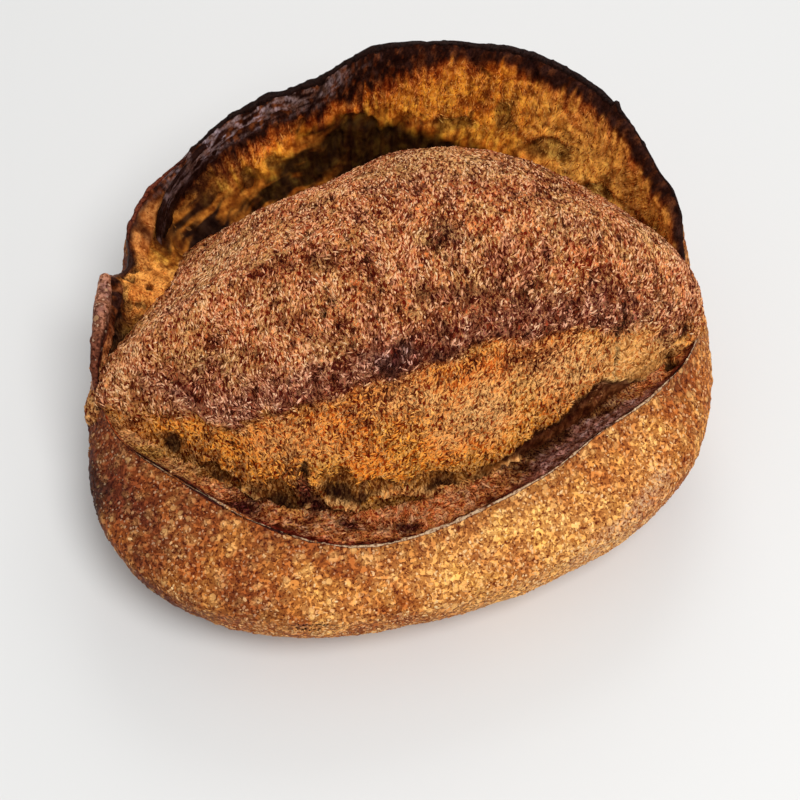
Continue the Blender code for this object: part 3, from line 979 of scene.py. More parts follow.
# Painted light: the ear's left and right parts are made brighter where the lamp leaves them dim; the bridge and
# the front shelf are brighter too.
brighter = 0.45 * bridge + 0.15 * front + 0.3 * rise(degrees, 108, 12) * in_ear * (1 - smooth_flap)
brighter += 0.25 * fall(degrees, 62, 20) * in_ear
tint = relit(tint, (0.76 + 0.66 * smooth(0.5 + 1.6 * grit)) * (1 + brighter))
fuzz = 1 - 0.6 * in_ear * (1 - 0.4 * browned) * (1 - 0.4 * bridge) - 0.3 * smooth_flap
fuzz -= np.maximum(0.6 * shade, 0.25 * arch)
crumb_tint = np.clip(tint, 0, 1)
paint(crumb_mesh, tint=crumb_tint, char=char, fuzz=fuzz)
print("torn crumb tints, mean:", crumb_tint.mean(axis=0).round(3))

# %% [markdown]
# The ear's left end came loose from the crust and stands free inside the flap beside it. It is a curved slab with
# two faces and an edge, which a ball can't give, so a box is cut finely and bent round the loaf.

# %% Ear's end shape
# The slab: degrees, share of the belly radius, height in millimetres.
EAR_END = ((124, 0.872, 92), (132, 0.87, 84.5), (140, 0.875, 79), (145, 0.88, 74), (149, 0.878, 69),
           (151, 0.876, 64), (153, 0.868, 57), (154.5, 0.86, 51))
EAR_END_FOOT = 0.046
EAR_END_TAPER = (1.2, 0.6)  # thickness at its foot and at its top edge, over the rim's
EAR_END_STEPS = (84, 60, 8)  # along it, up it and through it

bm = bmesh.new()
bmesh.ops.create_cube(bm, size=1)
for axis, steps in zip((0, 2, 1), EAR_END_STEPS):
    edges = [e for e in bm.edges if abs((e.verts[0].co - e.verts[1].co)[axis]) > 0.5]
    bmesh.ops.subdivide_edges(bm, edges=edges, cuts=steps - 1, use_grid_fill=True)
ear_end_mesh = bpy.data.meshes.new("ear_end")
bm.to_mesh(ear_end_mesh)
bm.free()
box = coordinates(ear_end_mesh)
place, share, height_mm = np.array(EAR_END).T
slab_degrees = place[0] + (place[-1] - place[0]) * (box[:, 0] + 0.5)
slab_angle = np.radians(slab_degrees)
climb = box[:, 2] + 0.5
top = np.interp(slab_degrees, place, height_mm) * MM
top += 0.9 * MM * swells(np.stack([slab_angle * RIM_RADIUS, 0 * top, 0 * top], axis=1), 5, 2, 140)
thick, thin = EAR_END_TAPER
round_edge = np.sqrt(np.clip(1 - ((climb - 0.94) / 0.06).clip(0, 1) ** 2, 0.05, 1))
depth = box[:, 1] * RIM_THICKNESS * (thick + (thin - thick) * climb) * round_edge
radius = np.interp(slab_degrees, place, share) * belly_radius(slab_angle) + depth
place_points(ear_end_mesh, at(slab_angle, radius, EAR_END_FOOT + (top - EAR_END_FOOT) * climb))
ear_end_mesh.shade_smooth()
print("ear's end:", len(ear_end_mesh.vertices), "points")

# %% [markdown]
# The slab shows torn crumb on its inner side, with the same fibres as the ear beside it, and char on its back and
# along its top edge, where it caught the heat from both sides.

# %% Ear's end relief and colours
EAR_END_MM = 1.85  # its length for each degree
# Hollows in its inner side, painted dark as shade: place and radii in millimetres.
EAR_END_HOLLOWS = (((-80.7, 66.7, 62.4), (9, 9, 6)), ((-64.7, 74.7, 65.4), (9, 9, 6)))

points, normals = surface(ear_end_mesh)
inner = smooth(-4 * box[:, 1])
to_tip = (place[-1] - slab_degrees) * EAR_END_MM * MM
down = np.minimum(top - points[:, 2], to_tip + 1 * MM)
flat_wall = unrolled(slab_angle, top - points[:, 2])
fibre = ridges(flat_wall, (2.6, 2.6, 12), 3, 31)
wrinkle = ridges(flat_wall, (9, 9, 2.4), 2, 63, 2.6)
relief = MM * (0.5 * fibre * inner + 0.3 * wrinkle + 0.6 * swells(points, 7, 2, 142))
place_points(ear_end_mesh, points + normals * relief[:, None])
reach = (13 - 5 * rise(slab_degrees, 138, 10)) * MM
strokes = swells(flat_wall, (1.4, 1.4, 26), 2, 70)
char = np.maximum(smooth(0.5 + (reach * (1 + 0.4 * strokes) - down) / (4 * MM)), 1 - inner)
ear_hollow = sum(spot(points, *hollow) for hollow in EAR_END_HOLLOWS)
round_streak = swells(flat_wall, (16, 16, 4), 3, 85)
in_hollow = rise(slab_degrees, 127, 8)
tint = blended(points, "#b0641a", (
    ("#e09a34", 0.6 * smooth(0.1 + fibre) * fall(slab_degrees, 138, 10)),
    ("#7a3810", smooth(0.5 + (reach * 1.7 * (1 + 0.5 * strokes) - down) / (7 * MM))),
    # Painted shade in the hollow past 127 degrees, in the two hollows and low down beside the dome.
    ("#1e0d05", 0.9 * in_hollow * smooth(0.55 - 1.5 * round_streak)),
    ("#a85a1a", 0.7 * in_hollow * smooth(2.4 * round_streak - 0.2)),
    ("#3a2610", np.clip(ear_hollow, 0, 1)),
    ("#1c0c05", 0.9 * fall(points[:, 2], 66 * MM, 8 * MM) * smooth(0.8 - 1.4 * round_streak)),
    ("#26110c", char),
    # Painted sheen: grey-lilac on the crests of the wrinkled char.
    ("#8f7270", 0.5 * rise(wrinkle, 0.5, 0.4) * char * fall(down, 9 * MM, 4 * MM)),
))
paint(ear_end_mesh, tint=tint, char=char, fuzz=np.full(len(points), 0.4))
print("ear's end from", points.min(axis=0).round(3), "to", points.max(axis=0).round(3))

# %% [markdown]
# The bloom: the dome of crumb that swelled through the slash. Its upper skin ends in a rolled fold that runs
# across it. A ball is moved onto the dome's section, which is the solid's; its underside is hidden in the bowl.

# %% Bloom shape
BLOOM_SEGMENTS = 640
BLOOM_STEPS = 150


def bloom_section(angle):
    """From the middle of the underside, out to the foot and up to the apex."""
    foot = around(FOOT, 1, angle) * belly_radius(angle)
    power = around(FOOT, 3, angle)
    points = [at(angle, 0, DOME_UNDERSIDE), at(angle, foot, DOME_UNDERSIDE)]
    for t in np.linspace(0, 1, BLOOM_STEPS):
        out = math.cos(t * math.pi / 2)
        height = max(0.0, 1 - out**2) ** power
        side = at(angle, foot * out, FLOOR_LEVEL + (DOME_TOP - FLOOR_LEVEL) * height)
        side[:, :2] += np.array(DOME_APEX) * (1 - out)
        points.append(side)
    return points


bloom_mesh, bloom_angle, _ = moulded("bloom", BLOOM_SEGMENTS, bloom_section)
print("bloom:", len(bloom_mesh.vertices), "points")

# %% [markdown]
# The bloom's relief: the step of the fold with its ragged, rolled edge; the lumps of the dough; a grain of short
# ridges that runs down the dome, because the skin was pulled that way as it rose; pores; and, near its foot in
# front, the drawn fibres and hollows of torn crumb. A round hole, a blister, a crack and a few ridges of lifted
# skin are placed by name.

# %% Bloom relief
FOLD_HEIGHT = 2.8 * MM
FOLD_WIDTH = 5.0 * MM
HOLE = ((-28.2, -17.7, 107), (1.8, 3.4, 6))
CRACK = ((76.2, -3.5), (77.0, -9.0), (78.6, -13.0), (78.0, -18.5))  # X and Y in millimetres
# Ridges of half-lifted skin on the dome, seen from above: X and Y in millimetres.
SKIN_RIDGES = (
    ((-62, -30), (-45, -33), (-28, -33), (-14, -28), (4, -25)), ((-20, -20), (0, -17), (18, -12), (36, -13)),
    ((-48, 4), (-30, 10), (-8, 8), (10, 14)), ((20, 6), (44, 8), (66, 16)), ((-96, -12), (-80, -20), (-66, -24)),
)
BLISTER = ((-13.7, -32.3, 103.6), (2.6, 2.6, 4))
# The height under which the bloom's skin is torn away and pushed in, in front, with painted shadow under the
# dome's overhang: degrees, millimetres.
UNDERCUT = ((200, 40), (268, 42), (290, 52), (305, 55), (311, 58), (317, 61), (328, 64), (339, 67), (345, 67),
            (349, 60), (353, 56), (360, 52), (370, 50), (385, 40))

points, normals = surface(bloom_mesh)
fold_x, fold_y = np.array(FOLD).T * MM
edge_wave = 3.8 * MM * swells(points * (1, 0.3, 0.3), 11, 4, 80)
behind = points[:, 1] - np.interp(points[:, 0], fold_x, fold_y) - edge_wave
roll = behind / FOLD_WIDTH
fold = FOLD_HEIGHT * (smooth(roll * 1.8) + 0.5 * bell(roll, 0.9, 1))
outward = points - CENTRE - (0, 0, FLOOR_LEVEL)
outward[:, 2] = np.maximum(outward[:, 2], 0)
outward /= np.linalg.norm(outward, axis=1)[:, None]
height = points[:, 2] / MM
foot = fall(height, 76, 16) * smooth((-np.sin(bloom_angle) + 0.25) / 0.3)
grain = ridges(points, (2.2, 5.0, 4.5), 3, 90)
lump = swells(points, LUMP_SIZE, 2)
bump = swells(points, (6, 9, 8), 3, 94)
gap, own = cells(points, (3.0, 4.6, 4.0), 100)
pore = smooth(1.15 - gap / (0.22 + 0.3 * own)) * (own > 0.5)
gap, own = cells(wavy(points, 1.5, 3, 2, 97), (6, 14, 12), 103)
pit = smooth(1.15 - gap / (0.10 + 0.16 * own)) * (own > 0.45)
flaky = bell(behind / MM, 6, 8)
curls = ridges(points, 3.4, 2, 98)
bent = wavy(points, 2.5, 9, 2, 99)
skin_ridge = sum(bell(path_gap(bent, path), 0, 2.6 * MM) for path in SKIN_RIDGES)
drawn = ridges(points, (2.4, 5, 12), 3, 104)
hollow, hollow_depth = hollowed(points, HOLLOWS)
hole = spot(points, *HOLE)
blister = spot(points, *BLISTER)
crack_x, crack_y = np.array(CRACK).T * MM
on_crack = np.abs(points[:, 0] - np.interp(-points[:, 1], -crack_y, crack_x)) / (0.7 * MM)
along_crack = (points[:, 1] < crack_y[0]) & (points[:, 1] > crack_y[-1]) & (points[:, 0] > 0)
crack = smooth(1.4 - on_crack) * along_crack
torn_edge = around(UNDERCUT, 1, bloom_angle) + 5 * swells(points, 8, 3, 108) - height
undercut = smooth(torn_edge / 5)
skin_relief = (1.0 * bump + (0.45 + 0.25 * flaky) * grain - 0.7 * pore - 1.3 * pit) * MM
relief = skin_relief + (0.9 * flaky * curls + 1.2 * skin_ridge + 1.6 * blister) * MM
relief += foot * (1.0 * MM * drawn - 0.2 * MM)
relief -= (4.5 * hole + 1.2 * crack + 2.2 * undercut) * MM + 0.8 * hollow_depth
arch, arch_bottom, arch_depth, crest, red_hollow = trough_forms(points)
relief += CREST_HEIGHT * crest - arch_depth - 1.0 * MM * red_hollow
shown = smooth((points[:, 2] - DOME_UNDERSIDE) / (6 * MM))
moved = points + outward * ((fold + LUMP_HEIGHT * lump) * shown)[:, None] + normals * (relief * shown)[:, None]
place_points(bloom_mesh, moved)
print("bloom relief from", relief.min().round(4), "to", relief.max().round(4))

# %% [markdown]
# The bloom baked unevenly: where it stood high it went dark, and where the fold kept the heat off it stayed pale.
# That can't come from its shape alone, so the patches are named places, with outlines that swells make uneven.
# The pale patches under the fold are partly painted light, where the lamp leaves that skin dimmer.

# %% Bloom patches
# Patches of the bloom: centre and radii in millimetres, and strength.
# Pale skin under the fold, partly painted light where the lamp leaves it dim.
PALE_AND_LIT_PATCHES = (
    ((28, -43, 78), (30, 30, 18), 1.0), ((92, -12, 67), (26, 34, 26), 1.8), ((2, -43, 89), (22, 12, 9), 0.6),
    ((62, -25, 78), (24, 20, 18), 0.8), ((-40, -52, 75), (34, 12, 12), 0.4),
)
BROWN_PATCHES = (
    ((-8, -44, 92), (30, 15, 14), 1.5), ((50, -23, 89), (32, 14, 13), 1.2), ((-48, -46, 84), (26, 11, 11), 1.0),
)
DARK_PATCHES = (
    ((12, 8, 118), (16, 9, 20), 1.0), ((-34, 3, 110), (17, 10, 20), 0.7), ((42, -12, 108), (46, 12, 20), 1.0),
    ((0, -15, 115), (40, 10, 20), 0.9), ((74, -4, 96), (26, 9, 20), 0.7), ((-70, -26, 84), (26, 7, 20), 0.6),
    ((-30, -27, 105), (26, 5, 20), 0.5),
)
TAN_PATCHES = (
    ((-72, 22, 84), (24, 22, 24), 0.9), ((12, 46, 110), (44, 18, 24), 0.9), ((84, 22, 84), (20, 18, 24), 0.8),
    ((-98, -14, 66), (16, 26, 16), 0.9), ((-45, -14, 102), (18, 12, 20), 0.5), ((52, 18, 108), (20, 12, 20), 0.5),
)
SCORCH_PATCHES = (
    ((-5, -34, 100), (13, 9, 11), 1.1), ((12, -31, 100), (18, 5, 9), 0.8), ((28, -27, 100), (14, 4, 9), 0.6),
)


def patched(points, patches):
    """How strongly any of the patches lies over each point."""
    return np.clip(sum(strength * spot(points, place, radii) for place, radii, strength in patches), 0, 1)


bent = wavy(points, 4, 9, 2, 130)
pale, brown, dark, tan, scorch = (patched(bent, patches) for patches in (
    PALE_AND_LIT_PATCHES, BROWN_PATCHES, DARK_PATCHES, TAN_PATCHES, SCORCH_PATCHES))
print("share of the bloom that is dark:", float(dark.mean().round(3)))

# %% [markdown]
# The bloom's colours: tan and red-brown on top; a dark red, nearly burnt band along the fold with one scorched
# patch; orange under it, pale gold where it faces the lamp, which is partly painted light; and painted shade:
# dark golden brown down in the trough, and darker under the dome's overhang, in the pores, pits and pockets,
# and in the hole and the crack.

# %% Bloom colours
# Painted light: the skin at the right under the fold is made the palest, where the lamp leaves it dim.
LIT_CHEEK = ((90, -12, 67), (26, 30, 24))  # the palest skin, at the right under the fold

x = points[:, 0] / MM
far = behind / MM  # how far behind the fold
cloud = swells(points, 14, 3, 120)
blotch = swells(points, 6, 3, 124)
fleck = swells(points, (1.8, 3.6, 3.2), 2, 128)
band = bell(far, 5, 7) * smooth((x + 108) / 25) * fall(x, 112, 50)
below_fold = smooth(0.5 - (far + 3 * blotch) / 4.0)
past_left_end = rise(np.degrees(bloom_angle), 202, 8)
in_front = -np.sin(bloom_angle)
trough = fall(height, 66, 8) * smooth((in_front + 0.15) / 0.25) * past_left_end
past_flap = smooth((x + 106) / 14)
lit_cheek = smooth(2 * spot(points, *LIT_CHEEK))
tint = blended(points, "#cc6a34", (
    ("#8a300e", 0.9 * smooth(0.4 + 1.8 * cloud)),
    ("#eca25c", 0.8 * smooth(0.1 + 1.8 * blotch)),
    ("#fabc78", 0.85 * tan * smooth(0.75 + blotch)),
    ("#4c1412", 0.97 * dark * smooth(0.75 + 1.2 * blotch)),
    ("#782412", 0.95 * np.clip(band * (1.2 + 0.9 * blotch), 0, 1)),
    ("#b06c54", 0.5 * flaky * rise(curls, 0.3, 0.4) * band),
    ("#ec8022", below_fold),
    ("#ffb440", 0.8 * below_fold * smooth(0.3 + 1.5 * cloud)),
    ("#94340a", 0.85 * below_fold * bell(far, -5, 9) * smooth(0.8 + cloud) * (1 - 0.7 * pale)),
    # Painted light: the pale patches and the lit cheek under the fold.
    ("#ffbc70", 0.97 * below_fold * pale * smooth(0.95 + blotch)),
    ("#ffb660", 0.9 * below_fold * lit_cheek),
    ("#7e3410", 0.9 * below_fold * brown * smooth(0.75 + 1.4 * blotch)),
    ("#dc8018", 0.6 * foot * past_flap * (1 - 0.8 * pale)),
    # Painted shade down in the trough and in the groove at the dome's foot.
    ("#8a3e06", 0.6 * trough * smooth(0.8 + blotch) * past_flap * (1 - 0.7 * pale)),
    ("#5a3c12", 0.6 * fall(height, 58, 6) * smooth(in_front / 0.3) * past_left_end),
    ("#440c0e", 0.97 * red_hollow * smooth(0.9 + cloud)),
    # Painted shadow under the dome's overhang, darkest at the torn edge.
    ("#42190a", 0.95 * undercut),
    ("#3a170b", 0.9 * smooth((torn_edge + 1) / 3) * fall(torn_edge, 9, 6)),
    *pocket_shade_and_crest(hollow, arch, arch_bottom, crest, cloud),
    # Painted shade in the pores and pits.
    ("#4a1814", 0.8 * np.maximum(pore, pit) * (1 - 0.5 * below_fold)),
    ("#2c1c1c", 0.75 * np.clip(scorch * (0.9 + 0.9 * blotch), 0, 1)),
    ("#ecc8a4", 0.8 * smooth(blister * 2.2)),
    # Painted shade inside the hole and the crack.
    ("#2e120a", 0.95 * np.clip(hole * 1.8 + crack * 0.9, 0, 1)),
))
# Painted shade and light: the tint is darker where the skin's relief sinks and brighter where it rises, with a
# random fleck.
gain = 0.48 + 0.62 * smooth(0.5 + skin_relief / (1.3 * MM)) + 0.52 * smooth(0.5 + 1.3 * fleck)
lit_cheek = below_fold * lit_cheek
# Painted light: the top is a little brighter on the right.
right_top = 0.1 * (1 - below_fold) * rise(x, 45, 30)
tint = relit(tint, gain * (1.1 + below_fold * (0.15 + 0.5 * pale) + 0.2 * lit_cheek + right_top))
bloom_tint = np.clip(tint, 0, 1)
fuzz = 1 - 0.5 * undercut - 0.2 * np.maximum(hollow, arch) - 0.3 * lit_cheek
paint(bloom_mesh, tint=bloom_tint, char=0.3 * band + 0.6 * scorch + 0.5 * undercut, fuzz=fuzz)
print("bloom tints, mean:", tint.mean(axis=0).round(3))

# %% [markdown]
# Bran flecks cling to the crust, short pale strokes of dried skin stand up from the bloom, and fine fibres hang
# where the crumb tore. They could be painted, but real ones catch the light and break the outline, so each kind
# is one mesh of many small lenses. First, points are scattered over the skin by area, each with a turn and a
# size.

# %% Scattered points
FLECK_SEED = 7
FLECK_SWIRL = 0.9  # how far their direction wanders over the skin
SMALLER = 1.6  # the power that makes small flecks commoner than large ones
# Each kind: how many, segments and rings of one lens, its least and greatest length, width and thickness in
# millimetres, the direction it lies in, how far that strays, and how high it stands in millimetres.
FLECKS = {
    "bran_flecks": (6000, (5, 3), ((0.5, 0.4, 0.3), (2.6, 1.6, 0.8)), (0.3, 0, 1), 0.9, -0.02),
    "skin_strokes": (24000, (4, 2), ((1.2, 0.5, 0.4), (3.8, 0.95, 0.8)), (0, 1, -0.4), 0.3, 0.0),
    "crumb_fibres": (18000, (4, 2), ((1.0, 0.26, 0.3), (4.5, 0.6, 0.8)), (0, -0.3, 1), 0.25, 0.02),
}


def scattered(name, mesh, chance_of):
    """Points for one kind of fleck, where chance_of says.

    Returns their mesh, their places, the skin's point nearest to each, and a random share for each.
    """
    count, _, sizes, direction, jitter, lift = FLECKS[name]
    rng = np.random.default_rng(FLECK_SEED)
    mesh.calc_loop_triangles()
    corners = np.empty(len(mesh.loop_triangles) * 3, np.int32)
    mesh.loop_triangles.foreach_get("vertices", corners)
    first_corner = corners[::3]
    corners = coordinates(mesh)[corners].reshape(-1, 3, 3)
    across = np.cross(corners[:, 1] - corners[:, 0], corners[:, 2] - corners[:, 0])
    area = np.linalg.norm(across, axis=1)
    middle = corners.mean(axis=1)
    weight = area * chance_of(middle, across / np.maximum(area, 1e-12)[:, None])
    chosen = rng.choice(len(area), count, p=weight / weight.sum())
    shares = rng.dirichlet((1, 1, 1), count)
    place = (corners[chosen] * shares[:, :, None]).sum(axis=1)
    up = across[chosen] / area[chosen][:, None]
    along = np.array(direction) + jitter * rng.normal(size=(count, 3))
    along += FLECK_SWIRL * np.stack([swells(place, 13, 2, 160 + 5 * axis) for axis in range(3)], axis=1)
    along -= up * (along * up).sum(axis=1)[:, None]
    along /= np.linalg.norm(along, axis=1)[:, None]
    side = np.cross(up, along)
    low, high = np.array(sizes) * MM / 2
    size = low + (high - low) * rng.random((count, 3)) ** SMALLER
    pitch = -np.arcsin(np.clip(along[:, 2], -1, 1))
    turn = np.stack([np.arctan2(side[:, 2], up[:, 2]), pitch, np.arctan2(along[:, 1], along[:, 0])], axis=1)
    cloud = bpy.data.meshes.new(name + "_points")
    cloud.vertices.add(count)
    cloud.attributes["position"].data.foreach_set("vector", (place + lift * MM * up).astype(np.float32).ravel())
    for field, values in (("turn", turn), ("size", size)):
        data = cloud.attributes.new(field, "FLOAT_VECTOR", "POINT").data
        data.foreach_set("vector", values.astype(np.float32).ravel())
    return cloud, place, first_corner[chosen], rng.random(count)


print("kinds of flecks:", list(FLECKS))

# %% [markdown]
# Geometry Nodes puts a small lens on every point: a coarse ball, drawn out by the point's size and laid along the
# skin by its turn. Copies that share one mesh would be lighter, but the loaf's looks are handed on as plain
# meshes, so the copies are made real.

# %% Lenses
def lenses(name, cloud):
    """One mesh with a small lens on every point of the cloud."""
    segments, rings = FLECKS[name][1]
    tree = bpy.data.node_groups.new(name, "GeometryNodeTree")
    tree.interface.new_socket("Geometry", in_out="INPUT", socket_type="NodeSocketGeometry")
    tree.interface.new_socket("Geometry", in_out="OUTPUT", socket_type="NodeSocketGeometry")
    new = tree.nodes.new
    entry, leave, put, real = (new(kind) for kind in (
        "NodeGroupInput", "NodeGroupOutput", "GeometryNodeInstanceOnPoints", "GeometryNodeRealizeInstances"))
    lens = new("GeometryNodeMeshUVSphere")
    for socket, value in (("Radius", 1), ("Segments", segments), ("Rings", rings)):
        lens.inputs[socket].default_value = value
    links = [(entry, 0, put, "Points"), (lens, 0, put, "Instance"), (put, 0, real, 0), (real, 0, leave, 0)]
    for field, socket in (("turn", "Rotation"), ("size", "Scale")):
        value = new("GeometryNodeInputNamedAttribute")
        value.data_type = "FLOAT_VECTOR"
        value.inputs["Name"].default_value = field
        links.append((value, 0, put, socket))
    for start, out, end, into in links:
        tree.links.new(start.outputs[out], end.inputs[into])
    maker = placed(name + "_maker", cloud)
    maker.modifiers.new("lenses", "NODES").node_group = tree
    mesh = bpy.data.meshes.new_from_object(maker.evaluated_get(bpy.context.evaluated_depsgraph_get()))
    mesh.name = name
    bpy.data.objects.remove(maker)
    place_points(mesh, coordinates(mesh))
    return mesh


print("faces of one lens:", {name: kind[1][0] * kind[1][1] for name, kind in FLECKS.items()})

# %% [markdown]
# Each kind keeps to its own skin: bran to the outside of the crust, strokes to the open bloom, fibres to the torn
# face where it isn't burnt or in shade. One function for each says how likely a fleck is at a place.

# %% Where each kind lies
def facing_out(place, up):
    """How far the skin faces away from the loaf's middle, seen from above."""
    x, y = place[:, 0] - CENTRE[0], place[:, 1] - CENTRE[1]
    return (up[:, 0] * x + up[:, 1] * y) / np.hypot(x, y)


def outside_crust(place, up):
    """Flecks cling to the outside of the crust in clusters, most of all low in front."""
    low = fall(place[:, 2], 60 * MM, 30 * MM)
    clump = 0.15 + 0.85 * smooth(0.4 + 1.8 * swells(place, 13, 2, 152))
    outside = (facing_out(place, up) > 0.15) * (place[:, 2] > 6 * MM)
    return outside * (0.25 + 0.75 * low) * clump * smooth(0.5 - place[:, 1] / 0.12)


def open_bloom(place, up):
    """Strokes stand on the open skin of the bloom, in clusters, with few low down or in the burnt patches."""
    clump = 0.3 + 0.7 * smooth(0.4 + 1.6 * swells(place, 9, 3, 150))
    burnt = np.clip(0.75 * patched(place, DARK_PATCHES) + patched(place, SCORCH_PATCHES), 0, 0.95)
    return (up[:, 2] > 0.12) * rise(place[:, 2] / MM, 55, 12) * clump * (1 - burnt)


def torn_open(place, up):
    """Fibres hang below the char inside the ear and lie on the shelf, but not down in the shade."""
    angle = np.arctan2(place[:, 1] - CENTRE[1], place[:, 0] - CENTRE[0])
    below = around(RIM, 2, angle) - place[:, 2] / MM
    lit = smooth((place[:, 2] / MM - around(SHADE, 1, angle)) / 8)
    unburnt = smooth((below - 0.9 * around(CHAR, 1, angle)) / 6)
    inside = (np.maximum(-facing_out(place, up), up[:, 2]) > 0.25) * (place[:, 2] > FLOOR_LEVEL - 2 * MM)
    return inside * lit * unburnt


lip, forwards = np.array([[0, -0.1, 0.03]]), np.array([[0, -1, 0]])
print("likelihood of bran at the lip:", outside_crust(lip, forwards).round(3))

# %% [markdown]
# A fleck takes the tint of the skin that it lies on, darker or brighter by chance, and the brightest are drier
# and paler. So the flecks follow every patch below them and still stand out one by one.

# %% Flecks, strokes and fibres
DRIED_FULL = 0.85  # the brightest that a fleck's tint may be


def dried(under, share, gains, pale, palest):
    """The skin's own tint, from deep to bright by the share, with some of the pale colour in the brightest."""
    brightness = np.clip(under.max(axis=1) / 0.5, 0.05, 1)
    paleness = palest * share[:, None] ** 2 * brightness[:, None] ** 1.4
    tint = relit(under, gains[0] * (gains[1] / gains[0]) ** share) * (1 - paleness) + pale * paleness
    return tint / np.maximum(1, tint.max(axis=1) / DRIED_FULL)[:, None]


cloud, place, near, share = scattered("bran_flecks", crust_mesh, outside_crust)
paint(cloud, tint=dried(crust_tint[near], share, (0.7, 2.2), linear("#ffe2ae"), 0.8))
bran_mesh = lenses("bran_flecks", cloud)

cloud, place, near, share = scattered("skin_strokes", bloom_mesh, open_bloom)
# Painted light: strokes under the fold are paler on the right and in the pale patches.
lit_side = below_fold[near] * rise(place[:, 0] / MM, 10, 50)
pale_tint = blended(place, "#ffd6a6", (
    ("#ffb858", below_fold[near]), ("#ffc87c", lit_side), ("#ffcc88", below_fold[near] * pale[near]),
))
least = 0.17 + 0.2 * below_fold[near] * (1 - brown[near])
paint(cloud, tint=dried(bloom_tint[near], share, (least, 3.0), pale_tint, 0.95))
stroke_mesh = lenses("skin_strokes", cloud)

cloud, place, near, share = scattered("crumb_fibres", crumb_mesh, torn_open)
paint(cloud, tint=dried(crumb_tint[near], share, (0.28, 2.5), linear("#ffc878"), 0.5))
fibre_mesh = lenses("crumb_fibres", cloud)
print("flecks:", {name: kind[0] for name, kind in FLECKS.items()})

# %% [markdown]
# Baked crumb and crust are built from the same few nodes, so each kind of node gets a short name here: a painted
# attribute, a sum, a noise, a range, a ramp and a mix. All of them go through the one function that adds a node.

# %% Shader helpers
DULL = {"IOR": 1.45, "Specular IOR Level": 0.05}


def painted(material, name, output="Fac"):
    """What a piece's attribute of that name holds."""
    return add(material, "Attribute", {}, attribute_name=name).outputs[output]


def maths(material, operation, *values, **settings):
    return add(material, "Math", dict(enumerate(values)), operation=operation, **settings).outputs[0]


def vectors(material, operation, *values):
    return add(material, "VectorMath", dict(enumerate(values)), operation=operation).outputs[0]


def noise(material, place, size, detail=2.0, roughness=0.5, output="Fac"):
    """A noise of about that size in metres."""
    return add(material, "TexNoise", {
        "Vector": place, "Scale": 1 / size, "Detail": detail, "Roughness": roughness}).outputs[output]


def ranged(material, value, low, high, to_low=0.0, to_high=1.0):
    """The value moved from one range to another, and kept within it."""
    return add(material, "MapRange", {
        "Value": value, "From Min": low, "From Max": high, "To Min": to_low, "To Max": to_high}).outputs[0]


def ramped(material, value, stops):
    """The colour of a ramp at the value; each stop is a place and a colour."""
    ramp = add(material, "ValToRGB", {"Fac": value})
    elements = ramp.color_ramp.elements
    while len(elements) < len(stops):
        elements.new(1.0)
    for element, (place, colour) in zip(elements, stops):
        element.position = place
        element.color = (*colour, 1)
    return ramp.outputs["Color"]


def mixed(material, share, under, over, blend_type="MIX"):
    """One colour laid over another by a share."""
    return add(material, "Mix", {0: share, 6: under, 7: over}, data_type="RGBA", blend_type=blend_type).outputs[2]


def darkened(material, share, under, hex_colour):
    """A colour multiplied by another by a share."""
    return mixed(material, share, under, mixed(material, 1.0, under, rgba(hex_colour), "MULTIPLY"))


def curled(material, place, size_mm, reach_mm):
    """The place pushed about by a noise, so that what is drawn with it curls."""
    wander = noise(material, place, size_mm * MM, output="Color")
    wander = vectors(material, "SUBTRACT", wander, (0.5, 0.5, 0.5))
    return vectors(material, "MULTIPLY_ADD", wander, (reach_mm * MM,) * 3, place)


print("dry skins are dull:", DULL)

# %% [markdown]
# Torn crumb that baked dry is a web of thin cell walls: pale raised strokes that curl round dark gaps. A noise
# gives it all at once. Where it crosses its middle value runs a pale line, and where it is low there is a gap.
# Another, broader noise bends the lines so that they curl. Its strokes are a millimetre or two apart; the finest
# real ones are too fine for the picture, so they are drawn a little coarser.

